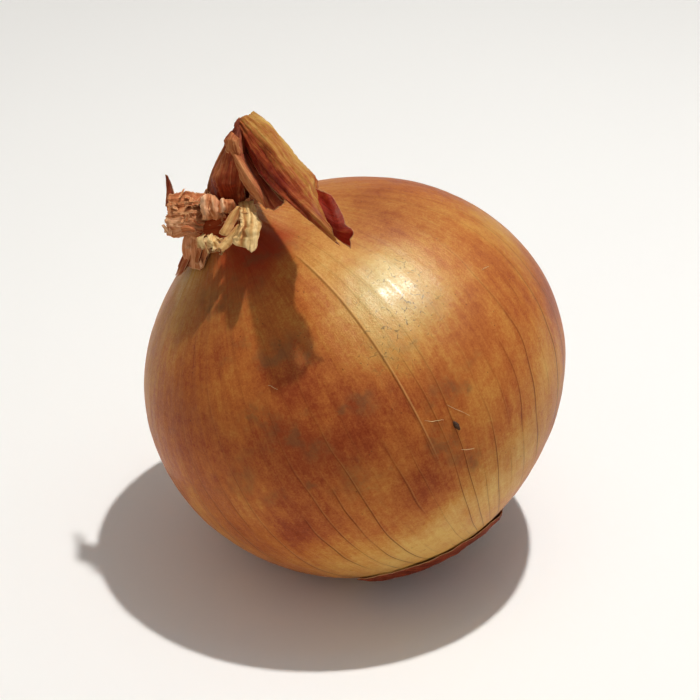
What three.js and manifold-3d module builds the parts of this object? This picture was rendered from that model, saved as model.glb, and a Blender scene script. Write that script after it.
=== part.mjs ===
// A globe onion in its dry skin, resting on a small pressed flat with its neck leaning to the left.
// Units are millimetres and +Z is up. The origin is the centre of the flat that the bulb rests on.
//
// The onion is modelled upright in its own frame: the origin is the middle of the bulb, +Z runs out of
// the neck and -Z out of the root plate. One group then leans it over and sets it down on the surface.

import * as THREE from "three";
import { mergeVertices } from "three/addons/utils/BufferGeometryUtils.js";
import Module from "manifold-3d";

const wasm = await Module();
wasm.setup();

// ---- Driving dimensions ----

const EQUATOR_RADIUS = 38.7; // the bulb at its widest
const SHOULDER_HEIGHT = 35.9; // middle of the bulb to the top of the flesh, under the neck
const ROOT_HEIGHT = 34.3; // middle of the bulb to the root plate
const NECK_RADIUS = 5.6;
const NECK_RISE = 5.6; // how far the skin sweeps up into the neck
const NECK_SWEEP = 5; // how quickly that sweep dies out over the shoulder
const ROOT_DIMPLE = { depth: 1.3, radius: 7 };
const SKEW = 0.045; // the flesh is fuller on one shoulder and on the opposite side of the base

const LEAN = THREE.MathUtils.degToRad(33.5); // the neck leans over towards -X
const REST_HEIGHT = 33.8; // middle of the bulb above the surface
const REST_OFFSET = { x: 2.8, y: 0 }; // middle of the bulb from the middle of the flat

const VEINS = 48;
const VEIN_RELIEF = 0.24;
const BLADE = 0.7; // thickness of a dry leaf or a torn skin
const GAP = 0.3; // clear space between pieces that touch

// Broad, soft swellings and hollows: direction from the middle, height, and spread in radians.
const SWELLINGS = [
  { towards: [0.95, -0.05, 0.15], height: 0.25, spread: 0.55 },
  { towards: [0.62, -0.2, -0.72], height: -0.75, spread: 0.45 },
  { towards: [-0.9, -0.4, -0.2], height: -1, spread: 0.6 },
  { towards: [-0.35, -0.55, -0.75], height: 0.4, spread: 0.5 },
  { towards: [-0.6, 0.7, 0.1], height: 0.4, spread: 0.6 },
  { towards: [0.2, 0.95, -0.2], height: -0.4, spread: 0.5 },
].map(({ towards, height, spread }) => ({
  towards: new THREE.Vector3(...towards).normalize(),
  height,
  spread,
}));

const COLOURS = {
  goldenSkin: 0xb9772f,
  dryLeaf: 0xb0763a,
  innerLeaf: 0x7a1d12,
  tornSkin: 0xa4683c,
  paleSkin: 0xcfb377,
  roots: 0xa98a5c,
};

function skin(color, roughness) {
  return new THREE.MeshStandardMaterial({ color, roughness, metalness: 0 });
}

// ---- How the onion lies ----

const onion = new THREE.Group();
onion.rotation.y = -LEAN;
onion.position.set(REST_OFFSET.x, REST_OFFSET.y, REST_HEIGHT);
onion.updateMatrix();

// ---- Helpers ----

// A repeatable number from 0 to 1 for each whole number.
function draw(n) {
  const s = Math.sin(n * 12.9898 + 4.1) * 43758.5453;
  return s - Math.floor(s);
}

// The closed mesh of a grid of points, ring after ring, capped by a point at each end.
function closedRings(rings, start, end) {
  const sides = rings[0].length;
  const points = [start, ...rings.flat(), end];
  const last = points.length - 1;
  const at = (ring, side) => 1 + ring * sides + (side % sides);
  const faces = [];
  for (let side = 0; side < sides; side++) {
    faces.push([0, at(0, side), at(0, side + 1)]);
    faces.push([last, at(rings.length - 1, side + 1), at(rings.length - 1, side)]);
    for (let ring = 0; ring + 1 < rings.length; ring++) {
      faces.push([at(ring, side), at(ring + 1, side), at(ring + 1, side + 1)]);
      faces.push([at(ring, side), at(ring + 1, side + 1), at(ring, side + 1)]);
    }
  }
  return indexed(points, faces);
}

function indexed(points, faces) {
  const geometry = new THREE.BufferGeometry();
  geometry.setFromPoints(points);
  geometry.setIndex(faces.flat());
  return geometry;
}

function solid(geometry) {
  const bare = geometry.clone();
  bare.deleteAttribute("normal");
  bare.deleteAttribute("uv");
  const merged = mergeVertices(bare, 1e-4);
  const mesh = new wasm.Mesh({
    numProp: 3,
    vertProperties: merged.attributes.position.array,
    triVerts: new Uint32Array(merged.index.array),
  });
  return new wasm.Manifold(mesh);
}

function fuse(solids) {
  return solids.reduce((whole, piece) => whole.add(piece));
}

function clearOf(piece, neighbours) {
  return neighbours.reduce((rest, neighbour) => rest.subtract(neighbour), piece);
}

// The largest body of a solid: scraps that a cut leaves loose are dropped.
function mainBody(piece) {
  return piece.decompose().sort((a, b) => b.volume() - a.volume())[0];
}

function meshOf(name, piece, material) {
  const { vertProperties, triVerts, numProp } = mainBody(piece).getMesh();
  const geometry = new THREE.BufferGeometry();
  geometry.setAttribute("position", new THREE.BufferAttribute(vertProperties.slice(), numProp));
  geometry.setIndex(new THREE.BufferAttribute(triVerts.slice(), 1));
  geometry.computeVertexNormals();
  const mesh = new THREE.Mesh(geometry, material);
  mesh.name = name;
  return mesh;
}

// ---- The bulb ----

// A point on the bulb's skin. The polar angle runs from the neck to the roots, and the turn goes round.
function bulbPoint(polar, turn, lift = 0) {
  const radius = EQUATOR_RADIUS * Math.sin(polar);
  const top = polar < Math.PI / 2;
  const sweep = NECK_RISE * Math.exp(-Math.max(0, radius - NECK_RADIUS) / NECK_SWEEP);
  const dimple = ROOT_DIMPLE.depth * Math.exp(-((radius / ROOT_DIMPLE.radius) ** 2));
  const height = top
    ? SHOULDER_HEIGHT * Math.cos(polar) + sweep
    : ROOT_HEIGHT * Math.cos(polar) + dimple;
  const point = new THREE.Vector3(radius * Math.cos(turn), radius * Math.sin(turn), height);
  const outward = point.clone().normalize();
  let swell = (-SKEW * point.x * point.z) / EQUATOR_RADIUS;
  for (const { towards, height: rise, spread } of SWELLINGS) {
    swell += rise * Math.exp(-((outward.angleTo(towards) / spread) ** 2));
  }
  return point.addScaledVector(outward, swell + lift);
}

// How far a vein stands out of the skin at a turn. Some veins are stronger than others.
function veinRelief(polar, turn) {
  const place = (turn / (2 * Math.PI)) * VEINS;
  const nearest = Math.round(place);
  const strength = 0.4 + 0.6 * draw((nearest + VEINS) % VEINS);
  const ridge = Math.max(0, 1 - 2 * Math.abs(place - nearest));
  const fade = THREE.MathUtils.smoothstep(EQUATOR_RADIUS * Math.sin(polar), 5, 14);
  return VEIN_RELIEF * strength * ridge * fade;
}

function bulbShape(lift = 0, ringCount = 28, sides = 2 * VEINS) {
  const crowding = 1.25; // packs more rings round the neck, where the skin turns sharply
  const rings = [];
  for (let ring = 1; ring < ringCount; ring++) {
    const polar = Math.PI * (ring / ringCount) ** crowding;
    rings.push(
      Array.from({ length: sides }, (_, side) => {
        const turn = (side / sides) * 2 * Math.PI;
        return bulbPoint(polar, turn, lift + veinRelief(polar, turn));
      }),
    );
  }
  return closedRings(rings, bulbPoint(0, 0, lift), bulbPoint(Math.PI, 0, lift));
}

// A block that fills everything under the surface the onion rests on, in the onion's own frame.
function underTheSurface() {
  const size = 120;
  const block = new THREE.BoxGeometry(size, size, size);
  block.translate(0, 0, -size / 2);
  return block.applyMatrix4(onion.matrix.clone().invert());
}

// ---- Dry leaves and torn skins ----

// A point on the smooth line through the given points. Past its ends the line runs straight on.
function splinePoint(points, t) {
  const spans = points.length - 1;
  const span = Math.min(spans - 1, Math.max(0, Math.floor(t * spans)));
  const w = t * spans - span;
  const b = points[span];
  const c = points[span + 1];
  const a = span > 0 ? points[span - 1] : b.clone().multiplyScalar(2).sub(c);
  const d = span + 2 <= spans ? points[span + 2] : c.clone().multiplyScalar(2).sub(b);
  const mix = (k) => {
    const [p, q, r, s] = [a, b, c, d].map((point) => point.getComponent(k));
    return q + 0.5 * w * (r - p + w * (2 * p - 5 * q + 4 * r - s + w * (3 * (q - r) + s - p)));
  };
  return new THREE.Vector3(mix(0), mix(1), mix(2));
}

// A smooth sheet through rows of points, from its root row to its torn end row. The share says how much
// of the sheet to cover along it for each column, and rib moves each column off the sheet by turns.
function sheet({ rows, along, across, sides, share, half, rib }) {
  const grid = rows.map((row) => row.map((p) => new THREE.Vector3(...p)));
  const sheetPoint = (u, v) => splinePoint(grid.map((row) => splinePoint(row, v)), u);
  const step = 0.01;
  const faces = [[], []];
  for (let j = 0; j <= across; j++) {
    const [from, to] = share(j);
    const v = sides[0] + (sides[1] - sides[0]) * (j / across);
    faces.forEach((face) => face.push([]));
    for (let i = 0; i <= along; i++) {
      const u = from + (to - from) * (i / along);
      const point = sheetPoint(u, v);
      const du = sheetPoint(u + step, v).sub(sheetPoint(u - step, v));
      const dv = sheetPoint(u, v + step).sub(sheetPoint(u, v - step));
      const normal = dv.cross(du).normalize();
      const offset = j % 2 ? rib : -rib;
      faces[0][j].push(point.clone().addScaledVector(normal, offset + half));
      faces[1][j].push(point.clone().addScaledVector(normal, offset - half));
    }
  }
  return solid(sheetMesh(faces, along, across));
}

// A dry leaf or a torn skin. tear is how deep its end is torn, as a share of its length, and pleat is the
// depth of its ribs.
function blade({ rows, along, across, tear = 0.1, pleat = 0.12, thick = BLADE, seed }) {
  const share = (j) => [0, 1 - tear * draw(seed * 31 + j)];
  return sheet({ rows, along, across, sides: [0, 1], share, half: thick / 2, rib: pleat });
}

// The space a blade needs, which its neighbours stay out of: a plainer, thicker sheet that is a little
// wider all round.
function roomFor({ rows, along, across, pleat = 0.12, thick = BLADE }) {
  const margin = 0.03;
  return sheet({
    rows,
    along: Math.ceil(0.7 * along),
    across: Math.ceil(0.7 * across),
    sides: [-margin, 1 + margin],
    share: () => [-margin, 1 + margin],
    half: thick / 2 + pleat + GAP,
    rib: 0,
  });
}

// The closed mesh between two faces of a sheet, each a list of columns of points.
function sheetMesh([front, back], along, across) {
  const points = [...front.flat(), ...back.flat()];
  const count = (along + 1) * (across + 1);
  const f = (j, i) => j * (along + 1) + i;
  const b = (j, i) => count + f(j, i);
  const faces = [];
  const quad = (p, q, r, s) => faces.push([p, q, r], [p, r, s]);
  for (let j = 0; j < across; j++) {
    for (let i = 0; i < along; i++) {
      quad(f(j, i), f(j + 1, i), f(j + 1, i + 1), f(j, i + 1));
      faces.push([b(j, i), b(j + 1, i + 1), b(j + 1, i)]);
      faces.push([b(j, i), b(j, i + 1), b(j + 1, i + 1)]);
    }
    quad(f(j + 1, 0), f(j, 0), b(j, 0), b(j + 1, 0));
    quad(f(j, along), f(j + 1, along), b(j + 1, along), b(j, along));
  }
  for (let i = 0; i < along; i++) {
    quad(f(0, i), f(0, i + 1), b(0, i + 1), b(0, i));
    quad(f(across, i + 1), f(across, i), b(across, i), b(across, i + 1));
  }
  return indexed(points, faces);
}

// The long dry leaf. Its two sides rise from the neck, meet in a crease and fold over to the front.
const RISING_LEAF = {
  rows: [
    [[-1.5, 1.5, 41.5], [0.5, -2, 41.5], [2.5, -3.5, 41.5], [4, -2.5, 41.5]],
    [[-1, 2.5, 44.5], [2, -3, 45], [4.5, -4.5, 44.5], [6, -3, 44]],
    [[0, 3.5, 46.5], [3.5, -2, 48], [6, -4, 47], [7.5, -3, 45.5]],
    [[4, 3.5, 48.5], [6.5, -0.5, 50], [8.5, -2.5, 49.5], [9, -1.5, 48]],
    [[7, 3.5, 51], [8.5, 1, 51.5], [10, 1, 51.5], [11, 2.5, 50]],
    [[10, 4, 52.5], [11, 3.5, 53], [12, 4, 53], [12.5, 5, 52]],
  ],
  along: 11,
  across: 7,
  tear: 0,
  seed: 2,
};

const LEAF_BACK = {
  rows: [
    [[-2, 2, 41.5], [0.5, 4, 41.5], [3, 3, 41.5], [4.5, 0.5, 41.5]],
    [[-0.5, 3.5, 45], [2.5, 5.5, 44.5], [5.5, 4, 43.5], [7, 0, 43.5]],
    [[4, 4, 48.5], [6.5, 5.5, 47.5], [8.5, 4, 46.5], [9, 0.5, 46.5]],
    [[10, 4, 52], [11.5, 5, 51.5], [13, 5, 51], [14, 3.5, 50.5]],
  ],
  along: 8,
  across: 6,
  tear: 0,
  seed: 4,
};

const FOLDED_LEAF = {
  rows: [
    [[9.5, 4, 52], [10.5, 3, 52.5], [11.5, 3, 53], [12.5, 4, 52.5], [13, 5.5, 52]],
    [[10, -1, 49.8], [11.7, -2.6, 51], [13.6, -3, 51.3], [15.3, -2, 51.2], [15.5, 1, 50]],
    [[11.1, -7, 47.5], [13.4, -8.4, 48.6], [15.7, -9, 49.2], [17, -7, 48.8], [17, -4, 47.8]],
    [[13.4, -14, 46], [15.5, -15, 46.6], [17.4, -14.8, 46.8], [18.5, -12, 46.4], [18.2, -8, 45.2]],
    [[16.4, -21.5, 44.7], [17.8, -21.6, 45], [19.2, -20.4, 44.8], [20.3, -16.5, 44.7], [20, -12.5, 43.5]],
    [[19.2, -27.2, 41.9], [20.2, -27, 42.9], [20.6, -24.5, 43.3], [20.4, -19.5, 43.3], [20.1, -14.5, 42.4]],
    [[20.9, -28, 35.3], [21.2, -28.6, 37.3], [21.2, -27, 39.6], [20, -22.5, 41.4], [18.9, -17, 42]],
  ],
  along: 18,
  across: 12,
  tear: 0.03,
  pleat: 0.15,
  seed: 3,
};

// A strip that has split from the folded leaf and hangs beside it.
const SPLIT_STRIP = {
  rows: [
    [[6.4, 1, 50.3], [7.8, 0, 51.4], [9.2, -0.2, 51.5], [10.2, 1.5, 51.5]],
    [[6.3, -0.8, 49.4], [8, -2.2, 50.5], [9.1, -1.8, 50], [10, -0.4, 49.3]],
    [[6.6, -3, 47.9], [8.6, -5, 49.1], [9.4, -4.4, 48.2], [10.6, -3.8, 47.8]],
    [[6.8, -5.4, 46.2], [9.2, -7.8, 47.7], [9.9, -7.2, 46.6], [11.3, -7.4, 46.3]],
    [[7.5, -8, 44.6], [9.9, -10.6, 45.9], [10.9, -10.8, 45.1], [12.7, -12, 45.1]],
    [[8.5, -10, 43.5], [10.3, -12.8, 44.5], [11.4, -13.6, 43.7], [14.1, -16, 44.3]],
    [[9.4, -11.8, 42.6], [10.2, -14.4, 42.5], [11.8, -16.4, 42.3], [16.3, -20.6, 44.3]],
  ],
  along: 11,
  across: 7,
  tear: 0.06,
  pleat: 0.08,
  seed: 5,
};

// The dark red leaf inside the folded one. It shows past the torn end.
const INNER_LEAF = {
  rows: [
    [[12.8, -8.6, 45.1], [15.6, -11, 46.4], [17.4, -10, 45.7]],
    [[15.1, -16.6, 43.3], [17.6, -16.8, 44.3], [18.3, -13.6, 43]],
    [[18.5, -23.6, 41.3], [20.2, -22.4, 42.1], [20.5, -17.4, 42]],
    [[20.8, -27, 37], [22.1, -26.2, 39.2], [21.4, -19.6, 41.8]],
    [[21.8, -28, 34.9], [24, -27.6, 37.4], [22.7, -22.6, 41], [22.5, -19.4, 42.3]],
  ],
  along: 12,
  across: 9,
  tear: 0.08,
  seed: 8,
};

// Brown skins torn round the mouth of the neck.
const TORN_SKINS = [
  {
    // wrinkled flap that flares out to the left
    rows: [
      [[-2, 0, 43.5], [-1.5, -4, 44.5], [-2, -5.5, 43.5], [-3.5, -6, 42.5], [-4.5, -6, 41]],
      [[-3, 1, 46.5], [-3, -4, 47], [-3.5, -6, 45.5], [-5, -6.5, 44], [-6.5, -6.5, 42]],
      [[-5, 2, 47.5], [-5, -3, 47.5], [-5.5, -5.5, 47], [-6.5, -6.5, 45.5], [-7.5, -6, 43.5]],
      [[-7.5, 3.5, 48.5], [-8, 0, 48.5], [-8.5, -2.5, 47.5], [-9, -3.5, 46.5], [-9, -4, 45]],
    ],
    along: 10,
    across: 11,
    tear: 0.09,
    pleat: 0.22,
    seed: 11,
  },
  {
    // thin spike at the flap's far corner
    rows: [
      [[-7.5, 3, 47.5], [-6.5, 2.5, 47]],
      [[-7, 3.5, 49.5], [-6.5, 3.5, 48.5]],
      [[-6.5, 4, 51], [-6, 4, 50.5]],
    ],
    along: 6,
    across: 2,
    tear: 0.05,
    seed: 12,
  },
  {
    // fold that rolls over the front of the mouth
    rows: [
      [[-4.5, 3, 42.5], [-2.5, 4.5, 42.5], [-0.5, 5, 42]],
      [[-3, 0.5, 46], [-1.5, 0.5, 46.5], [0, 0.5, 45]],
      [[-1.5, -5.5, 46.5], [0, -7, 46.5], [1, -5.5, 45]],
      [[-2, -6.5, 45.5], [-0.5, -8, 45], [0.5, -6.5, 44]],
      [[-2, -6, 44.5], [-1, -7, 44], [0, -6, 43.5]],
    ],
    along: 11,
    across: 7,
    tear: 0.06,
    seed: 13,
  },
  {
    // shorter skin to the right of the fold
    rows: [
      [[-1.5, 1, 44.5], [0, 0.5, 44.5], [1, 0, 44]],
      [[0, -2, 45.5], [1.5, -3.5, 45], [2.5, -4.5, 44]],
      [[0.5, -6, 44.5], [2, -6.5, 44], [3, -6.5, 43.5]],
      [[0, -7, 43.5], [1, -7.5, 43], [1.5, -7, 42.5]],
    ],
    along: 9,
    across: 6,
    tear: 0.12,
    seed: 14,
  },
];

// Pale, curled ends of the skins next to the flesh.
const PALE_SKINS = [
  {
    // broad flap to the right of the mouth
    rows: [
      [
        [3.8, -4.8, 43.1], [4.6, -5.2, 43.3], [5.1, -5.3, 43.2], [5.7, -5.6, 43], [6, -5.4, 42.6],
        [6.3, -5.1, 42.1], [6.2, -4.7, 41.4],
      ],
      [
        [4.7, -8.8, 43.7], [5.3, -9.5, 43.7], [5.7, -9.5, 43.4], [6.4, -10.2, 43.4], [6.8, -10.1, 43.1],
        [7.2, -9.8, 42.6], [7.3, -9, 41.9],
      ],
      [
        [4.8, -11.4, 43.4], [5.3, -12.1, 43.3], [5.7, -12.1, 43], [6.6, -12.9, 42.9], [7, -12.9, 42.6],
        [7.5, -12.6, 42.3], [7.7, -11.8, 41.4],
      ],
      [
        [4.5, -13.4, 42.6], [4.9, -14.1, 42.5], [5.3, -14.1, 42.2], [6.1, -15.3, 42.4], [6.8, -15.5, 42.3],
        [7.6, -15.4, 41.9], [8.3, -14.7, 41.2],
      ],
      [
        [2.8, -14.4, 42], [3.7, -15.2, 41.6], [4.4, -15.5, 41.4], [5.4, -17.1, 41.6], [6.2, -17.6, 41.5],
        [7, -17.6, 41.2], [7.4, -16.9, 40.7],
      ],
      [
        [1.6, -15.1, 41.6], [2.5, -16.2, 40.8], [3.5, -16.9, 40.3], [4.5, -18.9, 40.5], [5, -20.1, 39.6],
        [5.6, -19.8, 39.6], [6.5, -18.9, 40.1],
      ],
    ],
    along: 12,
    across: 8,
    tear: 0.12,
    pleat: 0.2,
    seed: 21,
  },
  {
    // narrow curl from the flap down towards the left
    rows: [
      [[4.5, -8.6, 44.2], [5.3, -9.8, 44.3], [5.3, -9.4, 43.2]],
      [[3, -10.4, 44.2], [3.7, -11, 43.7], [3.8, -11, 42.4]],
      [[1.3, -12, 43.8], [2.1, -12.6, 43.1], [2.4, -12.6, 42]],
      [[-0.1, -13, 43.2], [0.6, -13.5, 42.6], [0.9, -13.6, 41.6]],
    ],
    along: 7,
    across: 3,
    tear: 0.1,
    seed: 22,
  },
  {
    // lower curl beside it
    rows: [
      [[3.6, -11.4, 42.3], [4.2, -12.4, 42.3], [4, -12, 41.1]],
      [[1.8, -12.8, 42.3], [2.2, -13.2, 41.6], [2.1, -13.4, 40.4]],
      [[0.1, -13.8, 42.2], [0.6, -14.2, 41.5], [0.8, -14.2, 40.2]],
      [[-1.4, -14.8, 41.8], [-1.1, -15.4, 41.5], [-1, -15.2, 40.8]],
    ],
    along: 8,
    across: 3,
    tear: 0.1,
    seed: 24,
  },
];

const PALE_TUFT = {
  rows: [
    [[-5.2, -7.2, 41.8], [-3.4, -8, 42.1], [-2.3, -8.6, 42], [-1.5, -9, 41.2], [-1, -9.4, 40.4]],
    [[-4.8, -9.6, 42.4], [-3, -11.4, 42.8], [-1.5, -12.6, 42.8], [-0.8, -12.4, 42], [-0.4, -11.8, 40.8]],
    [[-4.1, -11, 41.9], [-2.7, -12.6, 42.2], [-1.6, -13.8, 42.2], [-1, -13.6, 41.5], [-0.9, -12.8, 40.6]],
    [[-3.7, -11.6, 41.5], [-2.9, -12.6, 41.4], [-2, -13.8, 41.3], [-1.5, -14, 41.1], [-1.3, -13.4, 40.8]],
  ],
  along: 7,
  across: 6,
  tear: 0.25,
  thick: 1.1,
  seed: 23,
};

// A peel is a sheet of skin that follows the bulb and lifts towards its torn edge. Its edge is a list of
// polar angles in degrees, evenly spaced between the two turns.
function peel({ turns, start, edge, lift, along, across, tear, seed }) {
  const line = edge.map((polar) => new THREE.Vector3(polar, 0, 0));
  const faces = [[], []];
  for (let j = 0; j <= across; j++) {
    const share = j / across;
    const turn = THREE.MathUtils.degToRad(turns[0] + (turns[1] - turns[0]) * share);
    const torn = splinePoint(line, share).x + tear * (draw(seed * 17 + j) - 0.5);
    const wave = 0.8 + 0.4 * draw(seed * 23 + j);
    faces.forEach((side) => side.push([]));
    for (let i = 0; i <= along; i++) {
      const reach = i / along;
      const polar = THREE.MathUtils.degToRad(start + (torn - start) * reach);
      const raised = lift[0] + (lift[1] - lift[0]) * wave * reach ** 2;
      faces[0][j].push(bulbPoint(polar, turn, raised + BLADE));
      faces[1][j].push(bulbPoint(polar, turn, raised));
    }
  }
  return solid(sheetMesh(faces, along, across));
}

// Shoulder skin that hangs in two tongues under the torn flap.
const SHOULDER_PEEL = {
  turns: [-122, -184],
  start: 8.5,
  edge: [12, 13.5, 17, 12.5, 12, 19, 20.5, 20, 17, 13],
  lift: [0.45, 1.1],
  along: 6,
  across: 18,
  tear: 2,
  seed: 31,
};

// Skin torn into a ragged skirt round the roots. It leaves the underside free where the bulb rests.
const ROOT_SKIRT = {
  turns: [-137, 118],
  start: 168,
  edge: [156, 131, 132, 137, 142, 148, 158, 160, 160, 156, 152, 154, 158, 155, 153, 156, 162],
  lift: [0.45, 0.8],
  along: 5,
  across: 48,
  tear: 5,
  seed: 41,
};

// The torn sleeve of skin round the neck, which the torn skins grow from. It is lowest at the front.
function neckSleeve(grow = 0) {
  const sides = 28;
  const [outer, inner] = [NECK_RADIUS + 0.4 + grow, NECK_RADIUS - 0.5 - grow];
  const rings = [
    { radius: outer, top: false },
    { radius: outer, top: true },
    { radius: inner, top: true },
    { radius: inner, top: false },
  ].map(({ radius, top }) =>
    Array.from({ length: sides }, (_, side) => {
      const turn = (side / sides) * 2 * Math.PI;
      const rim = 42.6 + 1.2 * Math.sin(turn - 0.2) + 0.8 * draw(side + 50) + grow;
      const height = top ? rim : 39.5 - grow;
      return new THREE.Vector3(radius * Math.cos(turn), radius * Math.sin(turn), height);
    }),
  );
  const faces = [];
  rings.forEach((_, ring) => {
    const [a, b] = [ring * sides, ((ring + 1) % rings.length) * sides];
    for (let side = 0; side < sides; side++) {
      const next = (side + 1) % sides;
      faces.push([a + side, a + next, b + next], [a + side, b + next, b + side]);
    }
  });
  return solid(indexed(rings.flat(), faces));
}

// The dried inner scales that close the neck, seen dark red between the torn skins.
function neckCore(grow = 0) {
  const sides = 16;
  const levels = [
    { height: 41.6 - grow, radius: 2.8, x: -1.6, y: -1.8 },
    { height: 42.6, radius: 3.6, x: -1.8, y: -3 },
    { height: 43.8, radius: 3, x: -2.2, y: -3.6 },
    { height: 44.6 + grow, radius: 1.5, x: -2.4, y: -3.6 },
  ];
  const rings = levels.map(({ height, radius, x, y }, level) =>
    Array.from({ length: sides }, (_, side) => {
      const turn = (side / sides) * 2 * Math.PI;
      const reach = radius + grow + 0.5 * (draw(side * 7 + level) - 0.5);
      return new THREE.Vector3(x + reach * Math.cos(turn), y + reach * Math.sin(turn), height);
    }),
  );
  const [foot, tip] = [levels[0], levels.at(-1)];
  return solid(
    closedRings(
      rings.reverse(),
      new THREE.Vector3(tip.x, tip.y, tip.height + 0.2),
      new THREE.Vector3(foot.x, foot.y, foot.height),
    ),
  );
}

// ---- The root end ----

// One dry root: a thin, tapered, bent stub that stops short of the surface the onion rests on.
function rootStub(index) {
  const sides = 4;
  const joints = 4;
  const turn = index * 2.4;
  const spread = 0.8 + 4.6 * Math.sqrt(draw(index + 200));
  const foot = new THREE.Vector3(spread * Math.cos(turn), spread * Math.sin(turn), -ROOT_HEIGHT + 1.2);
  const height = foot.clone().applyMatrix4(onion.matrix).z;
  const length = Math.min(2.6 + 3.4 * draw(index + 240), 0.8 * height);
  const lean = new THREE.Vector3(1 + Math.cos(turn), Math.sin(turn) + 0.3, 0);
  const bend = 0.35 * length * (0.3 + draw(index + 280));
  const rings = [];
  for (let joint = 0; joint < joints; joint++) {
    const share = joint / (joints - 1);
    const middle = foot.clone().addScaledVector(lean, bend * share ** 2);
    middle.z -= length * share;
    const radius = 0.62 - 0.3 * share;
    rings.push(
      Array.from({ length: sides }, (_, side) => {
        const angle = (side / sides) * 2 * Math.PI;
        return middle.clone().add(new THREE.Vector3(radius * Math.cos(angle), radius * Math.sin(angle), 0));
      }),
    );
  }
  const tip = rings.at(-1)[0].clone().lerp(rings.at(-1)[2], 0.5);
  tip.z -= 0.3;
  return solid(closedRings(rings, foot, tip));
}

function rootCrown() {
  const sides = 24;
  const plate = [
    { radius: 4.5, height: -ROOT_HEIGHT + 1.6 },
    { radius: 6.4, height: -ROOT_HEIGHT + 1.2 },
    { radius: 6.2, height: -ROOT_HEIGHT + 0.1 },
    { radius: 3.8, height: -ROOT_HEIGHT - 0.6 },
  ].map(({ radius, height }) =>
    Array.from({ length: sides }, (_, side) => {
      const turn = (side / sides) * 2 * Math.PI;
      const uneven = radius * (1 + 0.06 * Math.sin(3 * turn + 1));
      return new THREE.Vector3(uneven * Math.cos(turn), uneven * Math.sin(turn), height);
    }),
  );
  const disc = solid(
    closedRings(
      plate,
      new THREE.Vector3(0, 0, -ROOT_HEIGHT + 1.8),
      new THREE.Vector3(0, 0, -ROOT_HEIGHT - 0.7),
    ),
  );
  const stubs = Array.from({ length: 18 }, (_, index) => rootStub(index));
  return fuse([disc, ...stubs]);
}

// ---- Assembly ----

const bulb = clearOf(solid(bulbShape()), [solid(underTheSurface())]);
const bulbRoom = solid(bulbShape(GAP));
const core = clearOf(neckCore(), [bulbRoom]);
const coreRoom = neckCore(GAP);

const leafSides = [RISING_LEAF, LEAF_BACK, FOLDED_LEAF, SPLIT_STRIP];
const leaf = clearOf(fuse(leafSides.map((side) => blade(side))), [bulbRoom, coreRoom]);
const leafRoom = fuse(leafSides.map((side) => roomFor(side)));
const inner = clearOf(blade(INNER_LEAF), [leafRoom]);

const torn = clearOf(fuse([neckSleeve(), peel(SHOULDER_PEEL), ...TORN_SKINS.map((flap) => blade(flap))]), [
  bulbRoom,
  coreRoom,
  leafRoom,
]);
const tornRoom = fuse([neckSleeve(GAP), ...TORN_SKINS.map((flap) => roomFor(flap))]);
const pale = clearOf(fuse(PALE_SKINS.map((flap) => blade(flap))), [bulbRoom, coreRoom, leafRoom, tornRoom]);
const paleRoom = fuse(PALE_SKINS.map((flap) => roomFor(flap)));
const tuft = clearOf(blade(PALE_TUFT), [bulbRoom, coreRoom, tornRoom, paleRoom]);
const crown = clearOf(rootCrown(), [bulbRoom]);

onion.add(
  meshOf("bulb", bulb, skin(COLOURS.goldenSkin, 0.35)),
  meshOf("neck_core", core, skin(COLOURS.innerLeaf, 0.7)),
  meshOf("folded_leaf", leaf, skin(COLOURS.dryLeaf, 0.55)),
  meshOf("inner_leaf", inner, skin(COLOURS.innerLeaf, 0.6)),
  meshOf("torn_neck_skin", torn, skin(COLOURS.tornSkin, 0.7)),
  meshOf("pale_flap", pale, skin(COLOURS.paleSkin, 0.65)),
  meshOf("pale_tuft", tuft, skin(COLOURS.paleSkin, 0.7)),
  meshOf("root_skirt", peel(ROOT_SKIRT), skin(COLOURS.tornSkin, 0.6)),
  meshOf("root_crown", crown, skin(COLOURS.roots, 0.85)),
);

const part = new THREE.Group();
part.add(onion);

export default part;
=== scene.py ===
"""A globe onion in its dry skin: fine skins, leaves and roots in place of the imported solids, with their
materials, a pale floor, studio light and the camera.

Shapes are worked out in millimetres in the onion's own frame, as in the part's source: the origin is the middle
of the bulb and +Z runs out of the neck. to_world() leans them over and turns them into metres."""

import math

import bpy
import numpy as np
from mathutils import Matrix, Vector


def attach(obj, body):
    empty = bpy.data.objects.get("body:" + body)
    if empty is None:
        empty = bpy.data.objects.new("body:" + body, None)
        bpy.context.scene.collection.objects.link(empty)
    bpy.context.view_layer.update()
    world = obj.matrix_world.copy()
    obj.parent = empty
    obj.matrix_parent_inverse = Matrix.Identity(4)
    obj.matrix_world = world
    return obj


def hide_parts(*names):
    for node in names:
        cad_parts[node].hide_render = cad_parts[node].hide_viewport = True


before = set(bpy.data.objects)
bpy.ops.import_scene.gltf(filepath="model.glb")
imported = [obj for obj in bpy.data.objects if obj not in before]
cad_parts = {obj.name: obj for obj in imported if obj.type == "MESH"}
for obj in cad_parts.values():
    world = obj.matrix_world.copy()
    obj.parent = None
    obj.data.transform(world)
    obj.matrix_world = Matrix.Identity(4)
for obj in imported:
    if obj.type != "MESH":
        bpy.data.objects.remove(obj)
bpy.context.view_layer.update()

# ---- Driving dimensions in millimetres, as in the part's source ----

EQUATOR_RADIUS = 38.7
SHOULDER_HEIGHT = 35.9
ROOT_HEIGHT = 34.3
NECK_RADIUS = 5.6
NECK_RISE = 5.6
NECK_SWEEP = 5
DIMPLE_DEPTH, DIMPLE_RADIUS = 1.3, 7  # where the roots grow
SKEW = 0.045
LEAN = math.radians(33.5)
REST = np.array([2.8, 0, 33.8])  # the middle of the bulb, over the spot that it rests on
VEINS = 48
PEEL_OFFSET = 0.35  # from the bulb to the middle of a peeled skin: half the thickness of the source's sheets

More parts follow.
